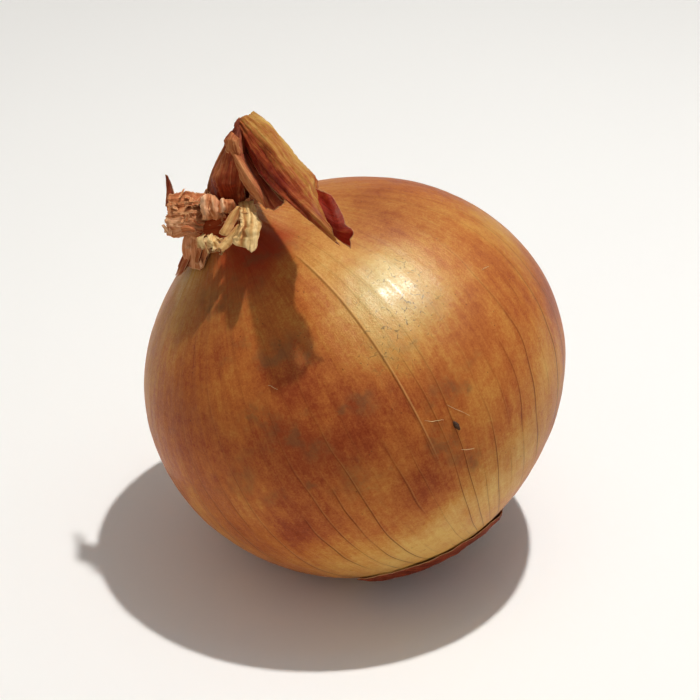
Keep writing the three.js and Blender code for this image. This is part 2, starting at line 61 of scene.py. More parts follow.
# where the bulb swells or sinks: towards, how far in millimetres and how widely in radians
SWELLINGS = [
    ([0.95, -0.05, 0.15], 0.25, 0.55),
    ([0.62, -0.2, -0.72], -0.75, 0.45),
    ([-0.9, -0.4, -0.2], -1, 0.6),
    ([-0.35, -0.55, -0.75], 0.4, 0.5),
    ([-0.6, 0.7, 0.1], 0.4, 0.6),
    ([0.2, 0.95, -0.2], -0.4, 0.5),
]

# ---- Helpers ----


def to_world(points):
    """Points in the onion's frame, in millimetres, as they lie in the scene, in metres."""
    x, y, z = np.moveaxis(points, -1, 0)
    cos, sin = math.cos(LEAN), math.sin(LEAN)
    return (np.stack([x * cos - z * sin, y, x * sin + z * cos], -1) + REST) / 1000


def draw(n):
    """A repeatable number from 0 to 1 for each whole number."""
    s = np.sin(np.asarray(n, float) * 12.9898 + 4.1) * 43758.5453
    return s - np.floor(s)


def smooth(value, low, high):
    """0 below low, 1 above high, and a soft step between them."""
    t = np.clip((value - low) / (high - low), 0, 1)
    return t * t * (3 - 2 * t)


def lattice(cells, seed):
    """A repeatable number from -1 to 1 for each cell of a grid."""
    n = cells[..., 0] * 73856093 ^ cells[..., 1] * 19349663 ^ cells[..., 2] * 83492791 ^ seed * 2654435761
    n &= 0xFFFFFFFF
    n = ((n ^ (n >> 13)) * 1274126177) & 0xFFFFFFFF
    n ^= n >> 16
    return (n & 0xFFFFFF) / 0xFFFFFF * 2 - 1


def noise(points, seed=0):
    """Smooth noise from -1 to 1 over 3D points."""
    base = np.floor(points).astype(np.int64)
    f = points - base
    f = f * f * (3 - 2 * f)
    total = 0
    for corner in np.ndindex(2, 2, 2):
        weight = np.prod(np.where(np.array(corner), f, 1 - f), axis=-1)
        total = total + weight * lattice(base + np.array(corner), seed)
    return total


def layered(shape, shift, points, octaves, seed, gain):
    """Noise with finer and finer layers, from about -1 to 1. Each layer is changed by shape."""
    points = np.asarray(points, float)
    layers = [gain**k * shape(noise(points * 2.03**k + shift * k, seed + k)) for k in range(octaves)]
    return sum(layers) / sum(gain**k for k in range(octaves))


def fractal(points, octaves=3, seed=0, gain=0.5):
    return layered(lambda value: value, 7.3, points, octaves, seed, gain)


def ridged(points, octaves=3, seed=0, gain=0.5):
    """Layered noise with sharp crests."""
    return layered(lambda value: 1 - 3 * np.abs(value), 5.1, points, octaves, seed, gain)


def line_noise(t, seed, octaves=3, gain=0.5):
    """Layered noise along a line."""
    t = np.asarray(t, float)
    return fractal(np.stack([t, 0 * t + 0.37, 0 * t + 0.71], -1), octaves, seed, gain)


def unit(vectors):
    return vectors / np.maximum(np.linalg.norm(vectors, axis=-1, keepdims=True), 1e-9)


def stack(x, y, z):
    """Points, or places in noise, from their three parts. Any part may be a plain number."""
    return np.stack(np.broadcast_arrays(x, y, z), -1)


def around(count):
    """Angles at even steps round a circle."""
    return np.arange(count) / count * math.tau


def off_axis(radius, turn, height):
    """Points at a distance from the axis of the onion's neck."""
    return stack(radius * np.cos(turn), radius * np.sin(turn), height)


def direction(polar, turn):
    """A unit vector in the onion's frame, from angles in radians."""
    return off_axis(np.sin(polar), turn, np.cos(polar))


def ring_faces(rings, columns):
    """The faces of a closed form of rings of points: the quads between the rings, and the triangles that join the
    first and the last ring to the two points that follow all the rings."""
    count = rings * columns
    grid = np.arange(count).reshape(rings, columns)
    right = np.roll(grid, -1, axis=1)
    return [
        np.stack([grid[:-1], grid[1:], right[1:], right[:-1]], -1).reshape(-1, 4),
        stack(count, grid[0], right[0]),
        stack(count + 1, right[-1], grid[-1]),
    ]


def make_object(name, points, faces, material, node, attributes):
    """A smooth piece of the object. faces is a list of arrays of vertex numbers, each for faces of one size."""
    places = to_world(points)
    places[:, 2] = np.maximum(places[:, 2], 0)  # the bulb is pressed flat where it rests
    mesh = bpy.data.meshes.new(name)
    mesh.vertices.add(len(points))
    mesh.vertices.foreach_set("co", places.astype(np.float32).ravel())
    corners = np.concatenate([face.ravel() for face in faces]).astype(np.int32)
    sizes = np.concatenate([np.full(len(face), face.shape[1]) for face in faces]).astype(np.int32)
    mesh.loops.add(len(corners))
    mesh.loops.foreach_set("vertex_index", corners)
    mesh.polygons.add(len(sizes))
    mesh.polygons.foreach_set("loop_start", np.concatenate([[0], np.cumsum(sizes)[:-1]]).astype(np.int32))
    mesh.polygons.foreach_set("loop_total", sizes)
    mesh.update(calc_edges=True)
    mesh.validate()
    mesh.polygons.foreach_set("use_smooth", np.ones(len(mesh.polygons), bool))
    for key, values in attributes.items():
        values = np.asarray(values, np.float32)
        kind, field = ("FLOAT_VECTOR", "vector") if values.ndim == 2 else ("FLOAT", "value")
        mesh.attributes.new(key, kind, "POINT").data.foreach_set(field, values.ravel())
    mesh.materials.append(material)
    piece = bpy.data.objects.new(name, mesh)
    bpy.context.scene.collection.objects.link(piece)
    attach(piece, "root")
    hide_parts(node)


# ---- Materials ----


def colour(red, green, blue):
    """A display colour, 0 to 255, as the linear colour that a shader takes."""
    parts = [c / 255 for c in (red, green, blue)]
    return [c / 12.92 if c <= 0.04045 else ((c + 0.055) / 1.055) ** 2.4 for c in parts] + [1]


class Material:
    """A material's node tree, written as expressions."""

    def __init__(self, name):
        self.data = bpy.data.materials.new(name)
        self.data.use_nodes = True
        self.tree = self.data.node_tree
        self.tree.nodes.clear()

    def node(self, kind, inputs, **settings):
        made = self.tree.nodes.new("ShaderNode" + kind)
        for key, value in settings.items():
            setattr(made, key, value)
        for key, value in inputs.items():
            if isinstance(value, bpy.types.NodeSocket):
                self.tree.links.new(value, made.inputs[key])
            else:
                made.inputs[key].default_value = value
        return made

    def math(self, operation, *values):
        return self.node("Math", dict(enumerate(values)), operation=operation).outputs[0]

    def add(self, first, *others):
        for value in others:
            first = self.math("ADD", first, value)
        return first

    def times(self, a, b):
        return self.math("MULTIPLY", a, b)

    def number(self, name):
        return self.node("Attribute", {}, attribute_name=name).outputs["Fac"]

    def vector(self, name):
        return self.node("Attribute", {}, attribute_name=name).outputs["Vector"]

    def place(self):
        """Where a point is, in millimetres."""
        return self.scaled(self.node("TexCoord", {}).outputs["Object"], (1000, 1000, 1000))

    def scaled(self, vector, scale):
        return self.node("VectorMath", {0: vector, 1: scale}, operation="MULTIPLY").outputs[0]

    def noise(self, vector, scale=1.0, detail=3.0, roughness=0.55, distortion=0.0):
        inputs = {"Vector": vector, "Scale": scale, "Detail": detail}
        return self.node("TexNoise", inputs | {"Roughness": roughness, "Distortion": distortion}).outputs["Fac"]

    def step(self, value, low, high, start=0.0, end=1.0):
        """A soft step from start, where value is below low, to end, where it is above high."""
        inputs = {"Value": value, "From Min": low, "From Max": high, "To Min": start, "To Max": end}
        return self.node("MapRange", inputs, interpolation_type="SMOOTHSTEP").outputs["Result"]

    def swing(self, value, amount, low=0.25, high=0.75):
        """A noise turned into a change from -amount to amount."""
        return self.step(value, low, high, -amount, amount)

    def near(self, value, low, high):
        """1 where value is closer to 0 than low, and 0 beyond high."""
        return self.step(value, low, high, 1.0, 0.0)

    def ramp(self, value, tones):
        """A colour from a table of (position, red, green, blue)."""
        made = self.node("ValToRGB", {"Fac": value})
        elements = made.color_ramp.elements
        while len(elements) < len(tones):
            elements.new(0.5)
        for element, (position, *tint) in zip(elements, tones):
            element.position = position
            element.color = colour(*tint)
        return made.outputs["Color"]

    def mix(self, factor, a, b, blend="MIX"):
        return self.node("Mix", {0: factor, 6: a, 7: b}, data_type="RGBA", blend_type=blend).outputs[2]

    def surface(self, height=None, **inputs):
        """The finished material. height is its relief, in metres."""
        names = {key.replace("_", " ").title().replace("Ior", "IOR"): value for key, value in inputs.items()}
        if height is not None:
            names["Normal"] = self.node("Bump", {"Height": height, "Strength": 1.0, "Distance": 1.0}).outputs[0]
        shader = self.node("BsdfPrincipled", names)
        self.tree.links.new(shader.outputs[0], self.node("OutputMaterial", {}).inputs[0])
        return self.data


# position along the ramp, red, green, blue
SKIN_TONES = [
    (0, 114, 40, 18), (0.28, 149, 69, 36), (0.5, 180, 103, 48), (0.74, 200, 140, 68), (1, 214, 172, 96),
]
LEAF_TONES = [(0, 110, 24, 12), (0.3, 147, 65, 31), (0.55, 171, 114, 54), (0.8, 195, 156, 84), (1, 222, 194, 128)]
RISING_TONES = [(0, 88, 20, 10), (0.3, 142, 60, 34), (0.6, 182, 110, 66), (1, 228, 174, 116)]
TORN_TONES = [(0, 88, 28, 16), (0.3, 144, 62, 36), (0.55, 184, 106, 62), (0.8, 210, 144, 98), (1, 234, 186, 146)]
PALE_TONES = [(0, 120, 50, 26), (0.35, 176, 114, 64), (0.7, 206, 162, 100), (1, 230, 200, 144)]
RED_TONES = [(0, 84, 6, 0), (0.5, 132, 24, 8), (1, 170, 74, 38)]
ROOT_TONES = [(0, 74, 48, 28), (0.5, 150, 116, 74), (1, 206, 178, 128)]


def bulb_skin():
    """Glossy golden skin with veins, streaks, blotches, grey mould stains, black specks and fine cracks, and
    painted light and shade.
    """
    m = Material("golden_onion_skin")
    skin = m.vector("skin")  # cosine and sine of the vein angle, and the polar angle
    cos, sin, _ = m.node("SeparateXYZ", {0: skin}).outputs
    place = m.place()
    streaks = m.noise(m.scaled(skin, (26, 26, 2.2)), detail=4, distortion=0.3)
    fine = m.noise(m.scaled(skin, (95, 95, 7)), detail=4, roughness=0.65)
    clouds = m.noise(place, 0.085, detail=5, roughness=0.6)
    mottle = m.noise(place, 0.45, detail=4, roughness=0.65)
    grain = m.noise(place, 3.0, detail=3, roughness=0.7)
    patches = m.noise(place, 1.1, detail=3, roughness=0.6)

    gold = m.add(
        m.number("gold"),
        m.swing(clouds, 0.12),
        m.swing(streaks, 0.055),
        m.swing(fine, 0.035, 0.2, 0.8),
        m.swing(mottle, 0.05),
        m.swing(grain, 0.08),
        m.swing(patches, 0.05),
    )
    base = m.ramp(gold, SKIN_TONES)
    # greyer and a little darker: on the upper shoulder; painted shade where the torn skins' shadow falls left of
    # the neck; painted paleness where the highlight's glow falls and on the upper right limb's sheen
    base = m.mix(m.number("dull_shade_and_sheen"), base, m.mix(1.0, base, colour(214, 234, 252), "MULTIPLY"))
    # painted shade, red as from light through the leaf, where the leaf's shadow falls at the neck's foot; partly
    # the foot's own red
    base = m.mix(m.number("flush_and_shade"), base, colour(156, 50, 30))
    stain = m.times(m.number("mould"), m.step(m.add(mottle, m.times(grain, 0.4)), 0.5, 0.85, 0.1))
    stain = m.times(m.step(stain, 0.0, 0.8), 0.6)
    base = m.mix(stain, base, colour(112, 74, 46))

    # thin dark veins: each wavers a little, has its own strength and fades in and out along its length
    turns = m.times(m.math("ARCTAN2", sin, cos), VEINS / math.tau)
    turns = m.add(turns, m.swing(m.noise(m.scaled(skin, (3, 3, 1.4)), detail=2), 0.22, 0.2, 0.8))
    index = m.math("ROUND", turns)
    aside = m.math("SUBTRACT", turns, index)
    offset = m.math("ABSOLUTE", aside)
    own = m.node("TexWhiteNoise", {"W": m.math("FLOORED_MODULO", index, VEINS)}, noise_dimensions="1D").outputs[0]
    fade = m.swing(m.noise(m.scaled(skin, (7, 7, 2.0)), detail=2), 0.35, 0.3, 0.7)
    strength = m.times(m.step(m.add(own, fade), 0.05, 0.75), m.number("veined"))
    vein = m.times(m.near(offset, 0.014, 0.055), strength)
    # lip: a painted highlight along one side of each vein, as on the lit side of a ridge
    lip = m.times(m.near(m.math("ABSOLUTE", m.add(aside, -0.06)), 0.012, 0.05), strength)
    halo = m.times(m.near(offset, 0.05, 0.3), strength)
    base = m.mix(m.times(halo, 0.12), base, colour(150, 70, 26), "MULTIPLY")
    base = m.mix(m.times(lip, 0.14), base, colour(226, 170, 96))
    base = m.mix(m.times(vein, 0.7), base, colour(94, 38, 14))

    # the free edge of the outer skin: a painted shadow just beyond its lip and a painted highlight on it
    edge = m.number("edge")  # millimetres from the edge
    for side, amount, tint in ((0.16, 0.5, (98, 42, 14)), (-0.16, 0.35, (230, 180, 108))):
        line = m.times(m.near(m.math("ABSOLUTE", m.add(edge, side)), 0.05, 0.3), m.number("edge_strength"))
        base = m.mix(m.times(line, amount), base, colour(*tint))

    # black specks, in swarms
    cells = m.node("TexVoronoi", {"Vector": place, "Scale": 0.9, "Randomness": 1.0})
    chance = m.node("TexWhiteNoise", {"Vector": cells.outputs["Position"]}, noise_dimensions="3D").outputs[0]
    swarm = m.step(m.noise(place, 0.16, detail=2), 0.45, 0.65, 0.0, 0.3)
    speck = m.times(m.near(cells.outputs["Distance"], 0.04, 0.16), m.step(m.add(chance, swarm), 0.99, 1.03))
    base = m.mix(m.times(speck, 0.7), base, colour(70, 46, 30))

    # fine cracks round small plates
    wobble = m.node("TexNoise", {"Vector": place, "Scale": 0.9, "Detail": 3}).outputs["Color"]
    bent = m.node("VectorMath", {0: place, 1: wobble}).outputs[0]
    plates = m.node("TexVoronoi", {"Vector": bent, "Scale": 0.5}, feature="DISTANCE_TO_EDGE").outputs["Distance"]
    cracks = m.times(m.near(plates, 0.02, 0.07), m.number("cracked"))
    base = m.mix(m.times(cracks, m.step(patches, 0.5, 0.62)), base, colour(84, 58, 34))

    heights = m.add(
        m.times(fine, 0.000022),
        m.times(streaks, 0.00002),
        m.times(mottle, 0.00006),
        m.times(patches, 0.00004),
        m.times(grain, 0.00004),
        m.times(vein, -0.00002),
    )
    return m.surface(
        heights,
        base_color=base,
        roughness=m.add(m.step(mottle, 0.25, 0.75, 0.36, 0.46), m.times(stain, 0.2)),
        specular_ior_level=0.1,
        specular_tint=(1, 0.72, 0.4, 1),
        coat_weight=m.step(grain, 0.3, 0.7, 0.0, 0.045),
        coat_roughness=0.2,
    )


def leaf_skin(name, tones, roughness):
    """Dry, fibrous leaf. The tone picks the colour, the streaks run along the leaf, and torn rims are pale."""
    m = Material(name)
    fibre = m.vector("fibre")  # across the leaf, along it, and a number of its own, in millimetres
    place = m.place()
    streaks = m.noise(m.scaled(fibre, (1.5, 0.09, 1)), detail=4, roughness=0.6, distortion=0.2)
    fine = m.noise(m.scaled(fibre, (6.5, 0.4, 1)), detail=3, roughness=0.7)
    clouds = m.noise(place, 0.3, detail=4)
    crumple = m.noise(place, 0.9, detail=4, roughness=0.6)
    tone = m.add(m.number("tone"), m.swing(streaks, 0.17), m.swing(fine, 0.12, 0.2, 0.8), m.swing(clouds, 0.1))
    rim = m.times(m.step(m.add(m.number("rim"), m.times(fine, 0.5)), 0.7, 1.2), 0.6)
    return m.surface(
        m.add(m.times(streaks, 0.00016), m.times(fine, 0.00007), m.times(crumple, 0.00018)),
        base_color=m.mix(rim, m.ramp(tone, tones), colour(218, 168, 118)),
        roughness=m.step(streaks, 0.2, 0.8, roughness - 0.08, roughness + 0.08),
        specular_ior_level=0.06,
        specular_tint=(1, 0.76, 0.5, 1),
    )


def root_fibre():
    """Dull, dry root fibre."""
    m = Material("dry_root_fibre")
    place = m.place()
    clouds = m.noise(place, 0.8, detail=4)
    grain = m.noise(m.scaled(place, (1, 1, 0.4)), 4.0, detail=3, roughness=0.7)
    base = m.ramp(m.add(m.number("tone"), m.swing(clouds, 0.2), m.swing(grain, 0.15)), ROOT_TONES)
    return m.surface(m.times(grain, 0.0003), base_color=base, roughness=0.9, specular_ior_level=0.1)


SKIN = bulb_skin()
DRY_LEAF = leaf_skin("dry_leaf_skin", LEAF_TONES, 0.55)
RISING_SKIN = leaf_skin("rising_leaf_skin", RISING_TONES, 0.65)
TORN_SKIN = leaf_skin("torn_skin_paper", TORN_TONES, 0.62)
PALE_SKIN = leaf_skin("pale_skin_paper", PALE_TONES, 0.62)
RED_LEAF = leaf_skin("dark_red_scale", RED_TONES, 0.6)
ROOT = root_fibre()

# ---- The bulb ----


def bulb_point(polar, turn, lift=0.0):
    """Points on the bulb's skin, as in the part's source."""
    polar, turn, lift = np.broadcast_arrays(polar, turn, lift)
    radius = EQUATOR_RADIUS * np.sin(polar)
    sweep = NECK_RISE * np.exp(-np.maximum(0, radius - NECK_RADIUS) / NECK_SWEEP)
    dimple = DIMPLE_DEPTH * np.exp(-((radius / DIMPLE_RADIUS) ** 2))
    shoulder = SHOULDER_HEIGHT * np.cos(polar) + sweep
    height = np.where(polar < math.pi / 2, shoulder, ROOT_HEIGHT * np.cos(polar) + dimple)
    point = off_axis(radius, turn, height)
    outward = unit(point)
    swell = -SKEW * point[..., 0] * point[..., 2] / EQUATOR_RADIUS
    for towards, rise, spread in SWELLINGS:
        angle = np.arccos(np.clip(outward @ unit(np.array(towards)), -1, 1))
        swell = swell + rise * np.exp(-((angle / spread) ** 2))
    return point + outward * (swell + lift)[..., None]


# How quickly the veins drift round the bulb as they run down it, in degrees of turn for each degree, by their
# turn at the neck.
DRIFT_TURNS = [-180, -145, -113, -88, -73, -62, -50, -34, -8, 30, 70, 110, 150]
DRIFT_RATES = [-0.05, -0.05, 0, 0.06, 0.1, 0.13, 0.18, 0.27, 0.34, 0.3, 0.14, 0.02, -0.04]
DRIFT_LIMIT = math.radians(122)  # beyond this polar angle the veins run straight to the roots
DRIFT_BEND = 0.12  # how softly they straighten, in radians


def drift(vein, polar):
    """How far a vein has drifted round the bulb at a polar angle."""
    rate = 0
    for shift in (-12, -6, 0, 6, 12):
        rate = rate + np.interp(np.degrees(vein) + shift, DRIFT_TURNS, DRIFT_RATES, period=360) / 5
    return -rate * (DRIFT_LIMIT - DRIFT_BEND * np.log1p(np.exp((DRIFT_LIMIT - polar) / DRIFT_BEND)))


# Soft spots on the skin: polar angle, turn and spread in degrees, and strength.
GOLD_SPOTS = [
    (50, -50, 18, 0.26), (46, -36, 10, 0.14), (62, -60, 7, 0.12), (69, -54, 7, 0.14), (30, -44, 11, 0.12),
    (50, -66, 7, 0.12), (24, -140, 14, 0.2), (20, -160, 12, 0.1), (26, -100, 8, 0.02), (88, -12, 10, 0.1),
    (84, -30, 12, 0.08), (72, 5, 12, 0.2), (82, -90, 8, 0.06), (60, -52, 10, 0.08), (98, -64, 6, 0.08),
    (119, -93, 13, 0.28), (112, -110, 10, 0.16), (127, -77, 14, 0.3), (124, -57, 13, 0.22),
    (116, -38, 12, 0.16), (101, -22, 11, 0.16), (45, -160, 14, 0.14), (70, -142, 13, 0.04),
    (140, -100, 20, 0.25), (60, 80, 26, 0.22), (110, 130, 28, 0.25), (50, 160, 20, 0.2), (120, 40, 20, 0.15),
]
RED_SPOTS = [
    (72, -72, 8, 0.12), (78, -100, 18, 0.15), (76, -58, 8, 0.14), (76, -88, 9, 0.1), (88, -76, 10, 0.1),
    (74, -34, 9, 0.06), (82, -42, 9, 0.12), (97, -4, 12, 0.12), (93, -127, 8, 0.12), (47, -135, 14, 0.14),
    (97, -113, 6, 0.18), (97, -102, 6, 0.14), (99, -73, 8, 0.1), (100, -58, 7, 0.06), (54, -104, 14, 0.08),
    # (16, -82) is painted reddish shade where the leaf's shadow falls at the neck's foot
    (16, -82, 8, 0.2), (42, -22, 10, 0.28), (105, -86, 9, 0.12), (101, -74, 8, 0.1), (51, -85, 8, 0.12),
    (64, -78, 7, 0.06), (84, -17, 8, 0.1), (66, -92, 9, 0.08), (60, -84, 9, 0.1), (62, -130, 12, 0.08),
    (60, 40, 24, 0.2), (90, 95, 24, 0.25), (80, 165, 22, 0.2), (105, 20, 18, 0.15),
]
# Greyer and a little darker: the upper shoulder, painted shade where the torn skins' shadow falls left of the
# neck, and painted paleness of the highlight's glow and of the sheen on the upper right limb.
DULL_SHADE_AND_SHEEN_SPOTS = [(26, -128, 14, 0.7), (36, -6, 18, 0.55), (50, -48, 11, 0.8), (60, -40, 9, 0.4), (75, 10, 14, 0.2)]
# Redder and darker at the neck's foot: partly its own red, partly painted shade, red as from light through the
# leaf, where the leaf's shadow falls.
FLUSH_AND_SHADE_SPOTS = [(15, -74, 8, 0.75), (18, -52, 6, 0.5), (15, -110, 7, 0.4), (24, -82, 6, 0.3), (22, -130, 10, 0.25)]
MOULD_SPOTS = [
    (82, -55, 5, 0.8), (100, -62, 4, 0.5), (89, -63, 4, 0.5), (45, -83, 6, 0.6), (85, -89, 5, 0.65),
    (73, -92, 4, 0.85), (62, -100, 5, 0.75), (73, -115, 6, 0.6), (71, -75, 4, 0.6), (27, -98, 8, 0.5),
    (62, -59, 7, 0.5), (20, -118, 9, 0.4), (98, -66, 4, 0.5), (95, 60, 8, 0.5), (70, 120, 9, 0.5),
    (50, 50, 7, 0.4),
]
CRACKED_SPOTS = [
    (55, -44, 10, 1.2), (62, -58, 8, 0.6), (45, -83, 5, 0.7), (27, -22, 5, 0.6), (60, 90, 9, 0.8),
    (85, 150, 10, 0.7),
]


def spots(places, outward, ragged):
    """The sum of soft spots at each direction from the middle of the bulb."""
    total = 0
    for polar, turn, spread, strength in places:
        towards = direction(math.radians(polar), math.radians(turn))
        angle = np.degrees(np.arccos(np.clip(outward @ towards, -1, 1)))
        total = total + strength * np.exp(-((angle * np.maximum(1 + ragged, 0.4) / spread) ** 2))
    return total


EDGE_VEIN = math.radians(-51)  # the vein that the free edge of the outer skin follows
BULB_COLUMNS, BULB_RINGS = 12 * VEINS, 168
GATHER_RADIUS = 13  # mm from the neck's axis, within which the skin gathers into folds


def bulb():
    """The bulb in its outer skin, with its blotches and stains as numbers for its material."""
    polar = math.pi * (np.arange(1, BULB_RINGS) / BULB_RINGS) ** 1.22  # the rings are closest at the neck
    vein = around(BULB_COLUMNS) + EDGE_VEIN % (math.tau / VEINS)
    polar, vein = np.meshgrid(polar, vein, indexing="ij")
    turn = vein + drift(vein, polar)
    radius = EQUATOR_RADIUS * np.sin(polar)
    outward = direction(polar, turn)
    skin = off_axis(1, vein, polar)

    # relief: veins, soft dents, folds where the skin gathers into the neck, and the lip of the outer skin
    place = (vein - EDGE_VEIN) / math.tau * VEINS
    nearest = np.round(place)
    ridge = (0.35 + 0.65 * draw(nearest % VEINS)) * np.cos(math.pi * (place - nearest)) ** 4
    lift = 0.035 * ridge * smooth(radius, 6, 16)
    lift = lift + 0.13 * fractal(outward * 4.2, 3, 11) + 0.03 * fractal(outward * 14, 2, 17)
    lift = lift + np.exp(-((radius / GATHER_RADIUS) ** 2)) * 0.35 * fractal(skin * np.array([9, 9, 1.5]), 3, 23)
    edge = ((vein - EDGE_VEIN + math.pi) % math.tau - math.pi) * radius * 0.8
    along = smooth(np.degrees(polar), 22, 34) * (1 - smooth(np.degrees(polar), 80, 100))
    lift = lift + 0.07 * along * (edge >= 0) * np.exp(-np.maximum(edge, 0) / 4)
    points = bulb_point(polar, turn, lift * smooth(radius, 1, 6))

    ragged = 0.45 * fractal(outward * 5, 3, 31)
    gold = 0.52 + spots(GOLD_SPOTS, outward, ragged) - spots(RED_SPOTS, outward, ragged)
    gold = gold + 0.1 * along * np.tanh(edge / 1.5) * np.exp(-np.abs(edge) / 7)
    flecked = 1.3 * fractal(outward * 13, 3, 37)
    attributes = {  # each with its values at the two poles
        "skin": (skin, [[0, 0, 0], [0, 0, math.pi]]),
        "gold": (gold, [0.4, 0.4]),
        "mould": (spots(MOULD_SPOTS, outward, flecked), [0, 0]),
        "cracked": (spots(CRACKED_SPOTS, outward, ragged), [0, 0]),
        "dull_shade_and_sheen": (np.minimum(spots(DULL_SHADE_AND_SHEEN_SPOTS, outward, ragged), 0.8), [0, 0]),
        "flush_and_shade": (np.minimum(spots(FLUSH_AND_SHADE_SPOTS, outward, ragged), 0.85), [0, 0]),
        "veined": (0.2 + 0.8 * smooth(np.degrees(polar), 55, 110), [0, 0]),
        "edge": (np.clip(edge, -5, 5), [5, 5]),
        "edge_strength": (along, [0, 0]),
    }

    def with_poles(values, ends):
        return np.concatenate([values.reshape(polar.size, -1), np.reshape(ends, (2, -1))]).squeeze()

    points = with_poles(points, bulb_point([0, math.pi], 0.0))
    faces = ring_faces(*polar.shape)
    attributes = {key: with_poles(*values) for key, values in attributes.items()}
    make_object("onion_skin", points, faces, SKIN, "bulb", attributes)


# ---- Dry leaves and torn skins ----

NUDGE = 0.01  # of a sheet's length or width, to find which way it faces
FIBRE_STEP = 9.7  # mm between sheets in the noise of their fibres, so that no two are alike


def spline_weights(count, t, sharp=0.0):
    """How much each of count points adds at place t of the line through them. The line is smooth, as in the
    part's source, or runs straight from point to point where sharp is 1."""
    t = np.asarray(t, float)
    spans = count - 1
    span = np.clip(np.floor(t * spans).astype(int), 0, spans - 1)
    w = t * spans - span
    weights = np.zeros(t.shape + (count + 2,))  # one more point at each end
    steps = [
        0.5 * w * (-1 + w * (2 - w)),
        1 + 0.5 * w * w * (3 * w - 5),
        0.5 * w * (1 + w * (4 - 3 * w)),
        0.5 * w * w * (w - 1),
    ]
    for k, step in enumerate(steps):
        np.put_along_axis(weights, (span + k)[..., None], step[..., None], -1)
    inner = weights[..., 1:-1].copy()
    first, last = weights[..., :1], weights[..., -1:]
    inner[..., :1] += 2 * first
    inner[..., 1:2] -= first
    inner[..., -1:] += 2 * last
    inner[..., -2:-1] -= last
    straight = np.zeros_like(inner)
    np.put_along_axis(straight, span[..., None], (1 - w)[..., None], -1)
    np.put_along_axis(straight, (span + 1)[..., None], w[..., None], -1)
    return (1 - sharp) * inner + sharp * straight


def sheet_points(rows, u, v, sharp=0.0):
    """Points of the sheet through rows of points, or of numbers, at places u along and v across. It may be
    creased along the lines that join the points of one row to the next."""
    lines = []
    for row in rows:
        row = np.reshape(np.array(row, float), (len(row), -1))
        lines.append(np.einsum("...c,ck->...k", spline_weights(len(row), v, sharp), row))
    return np.einsum("...r,...rk->...k", spline_weights(len(rows), u), np.stack(lines, -2))


def half_thickness(thick, inset, rim=0.35):
    """Half of a sheet's thickness in millimetres, down to a share of rim where inset from its edge is 0."""
    return 0.5 * thick * (rim + (1 - rim) * smooth(inset, 0, 0.5))


def sheet_mesh(front, back, tones, rim, fibre, turned=False):
    """A closed sheet. front and back are the grids of points of its two faces, tones the tones of each, and rim
    and fibre belong to both."""
    near = np.arange(rim.size).reshape(rim.shape)
    far = near + rim.size

    def quads(*corners):
        return np.stack(corners, -1).reshape(-1, 4)

    faces = np.concatenate(
        [
            quads(near[:-1, :-1], near[1:, :-1], near[1:, 1:], near[:-1, 1:]),
            quads(far[:-1, :-1], far[:-1, 1:], far[1:, 1:], far[1:, :-1]),
            quads(near[1:, 0], near[:-1, 0], far[:-1, 0], far[1:, 0]),
            quads(near[:-1, -1], near[1:, -1], far[1:, -1], far[:-1, -1]),
            quads(near[0, :-1], near[0, 1:], far[0, 1:], far[0, :-1]),
            quads(near[-1, 1:], near[-1, :-1], far[-1, :-1], far[-1, 1:]),
        ]
    )
    return {
        "points": np.concatenate([front.reshape(-1, 3), back.reshape(-1, 3)]),
        "faces": faces[:, ::-1] if turned else faces,
        "tone": np.concatenate([tone.ravel() for tone in tones]),
        "rim": np.tile(rim.ravel(), 2),
        "fibre": np.tile(fibre.reshape(-1, 3), (2, 1)),
    }


def join(name, sheets, material, node):
    """One piece of the object made of several sheets."""
    starts = np.cumsum([0] + [len(sheet["points"]) for sheet in sheets])
    faces = [sheet["faces"] + start for sheet, start in zip(sheets, starts)]
    values = {key: np.concatenate([sheet[key] for sheet in sheets]) for key in ("points", "tone", "rim", "fibre")}
    make_object(name, values.pop("points"), faces, material, node, values)


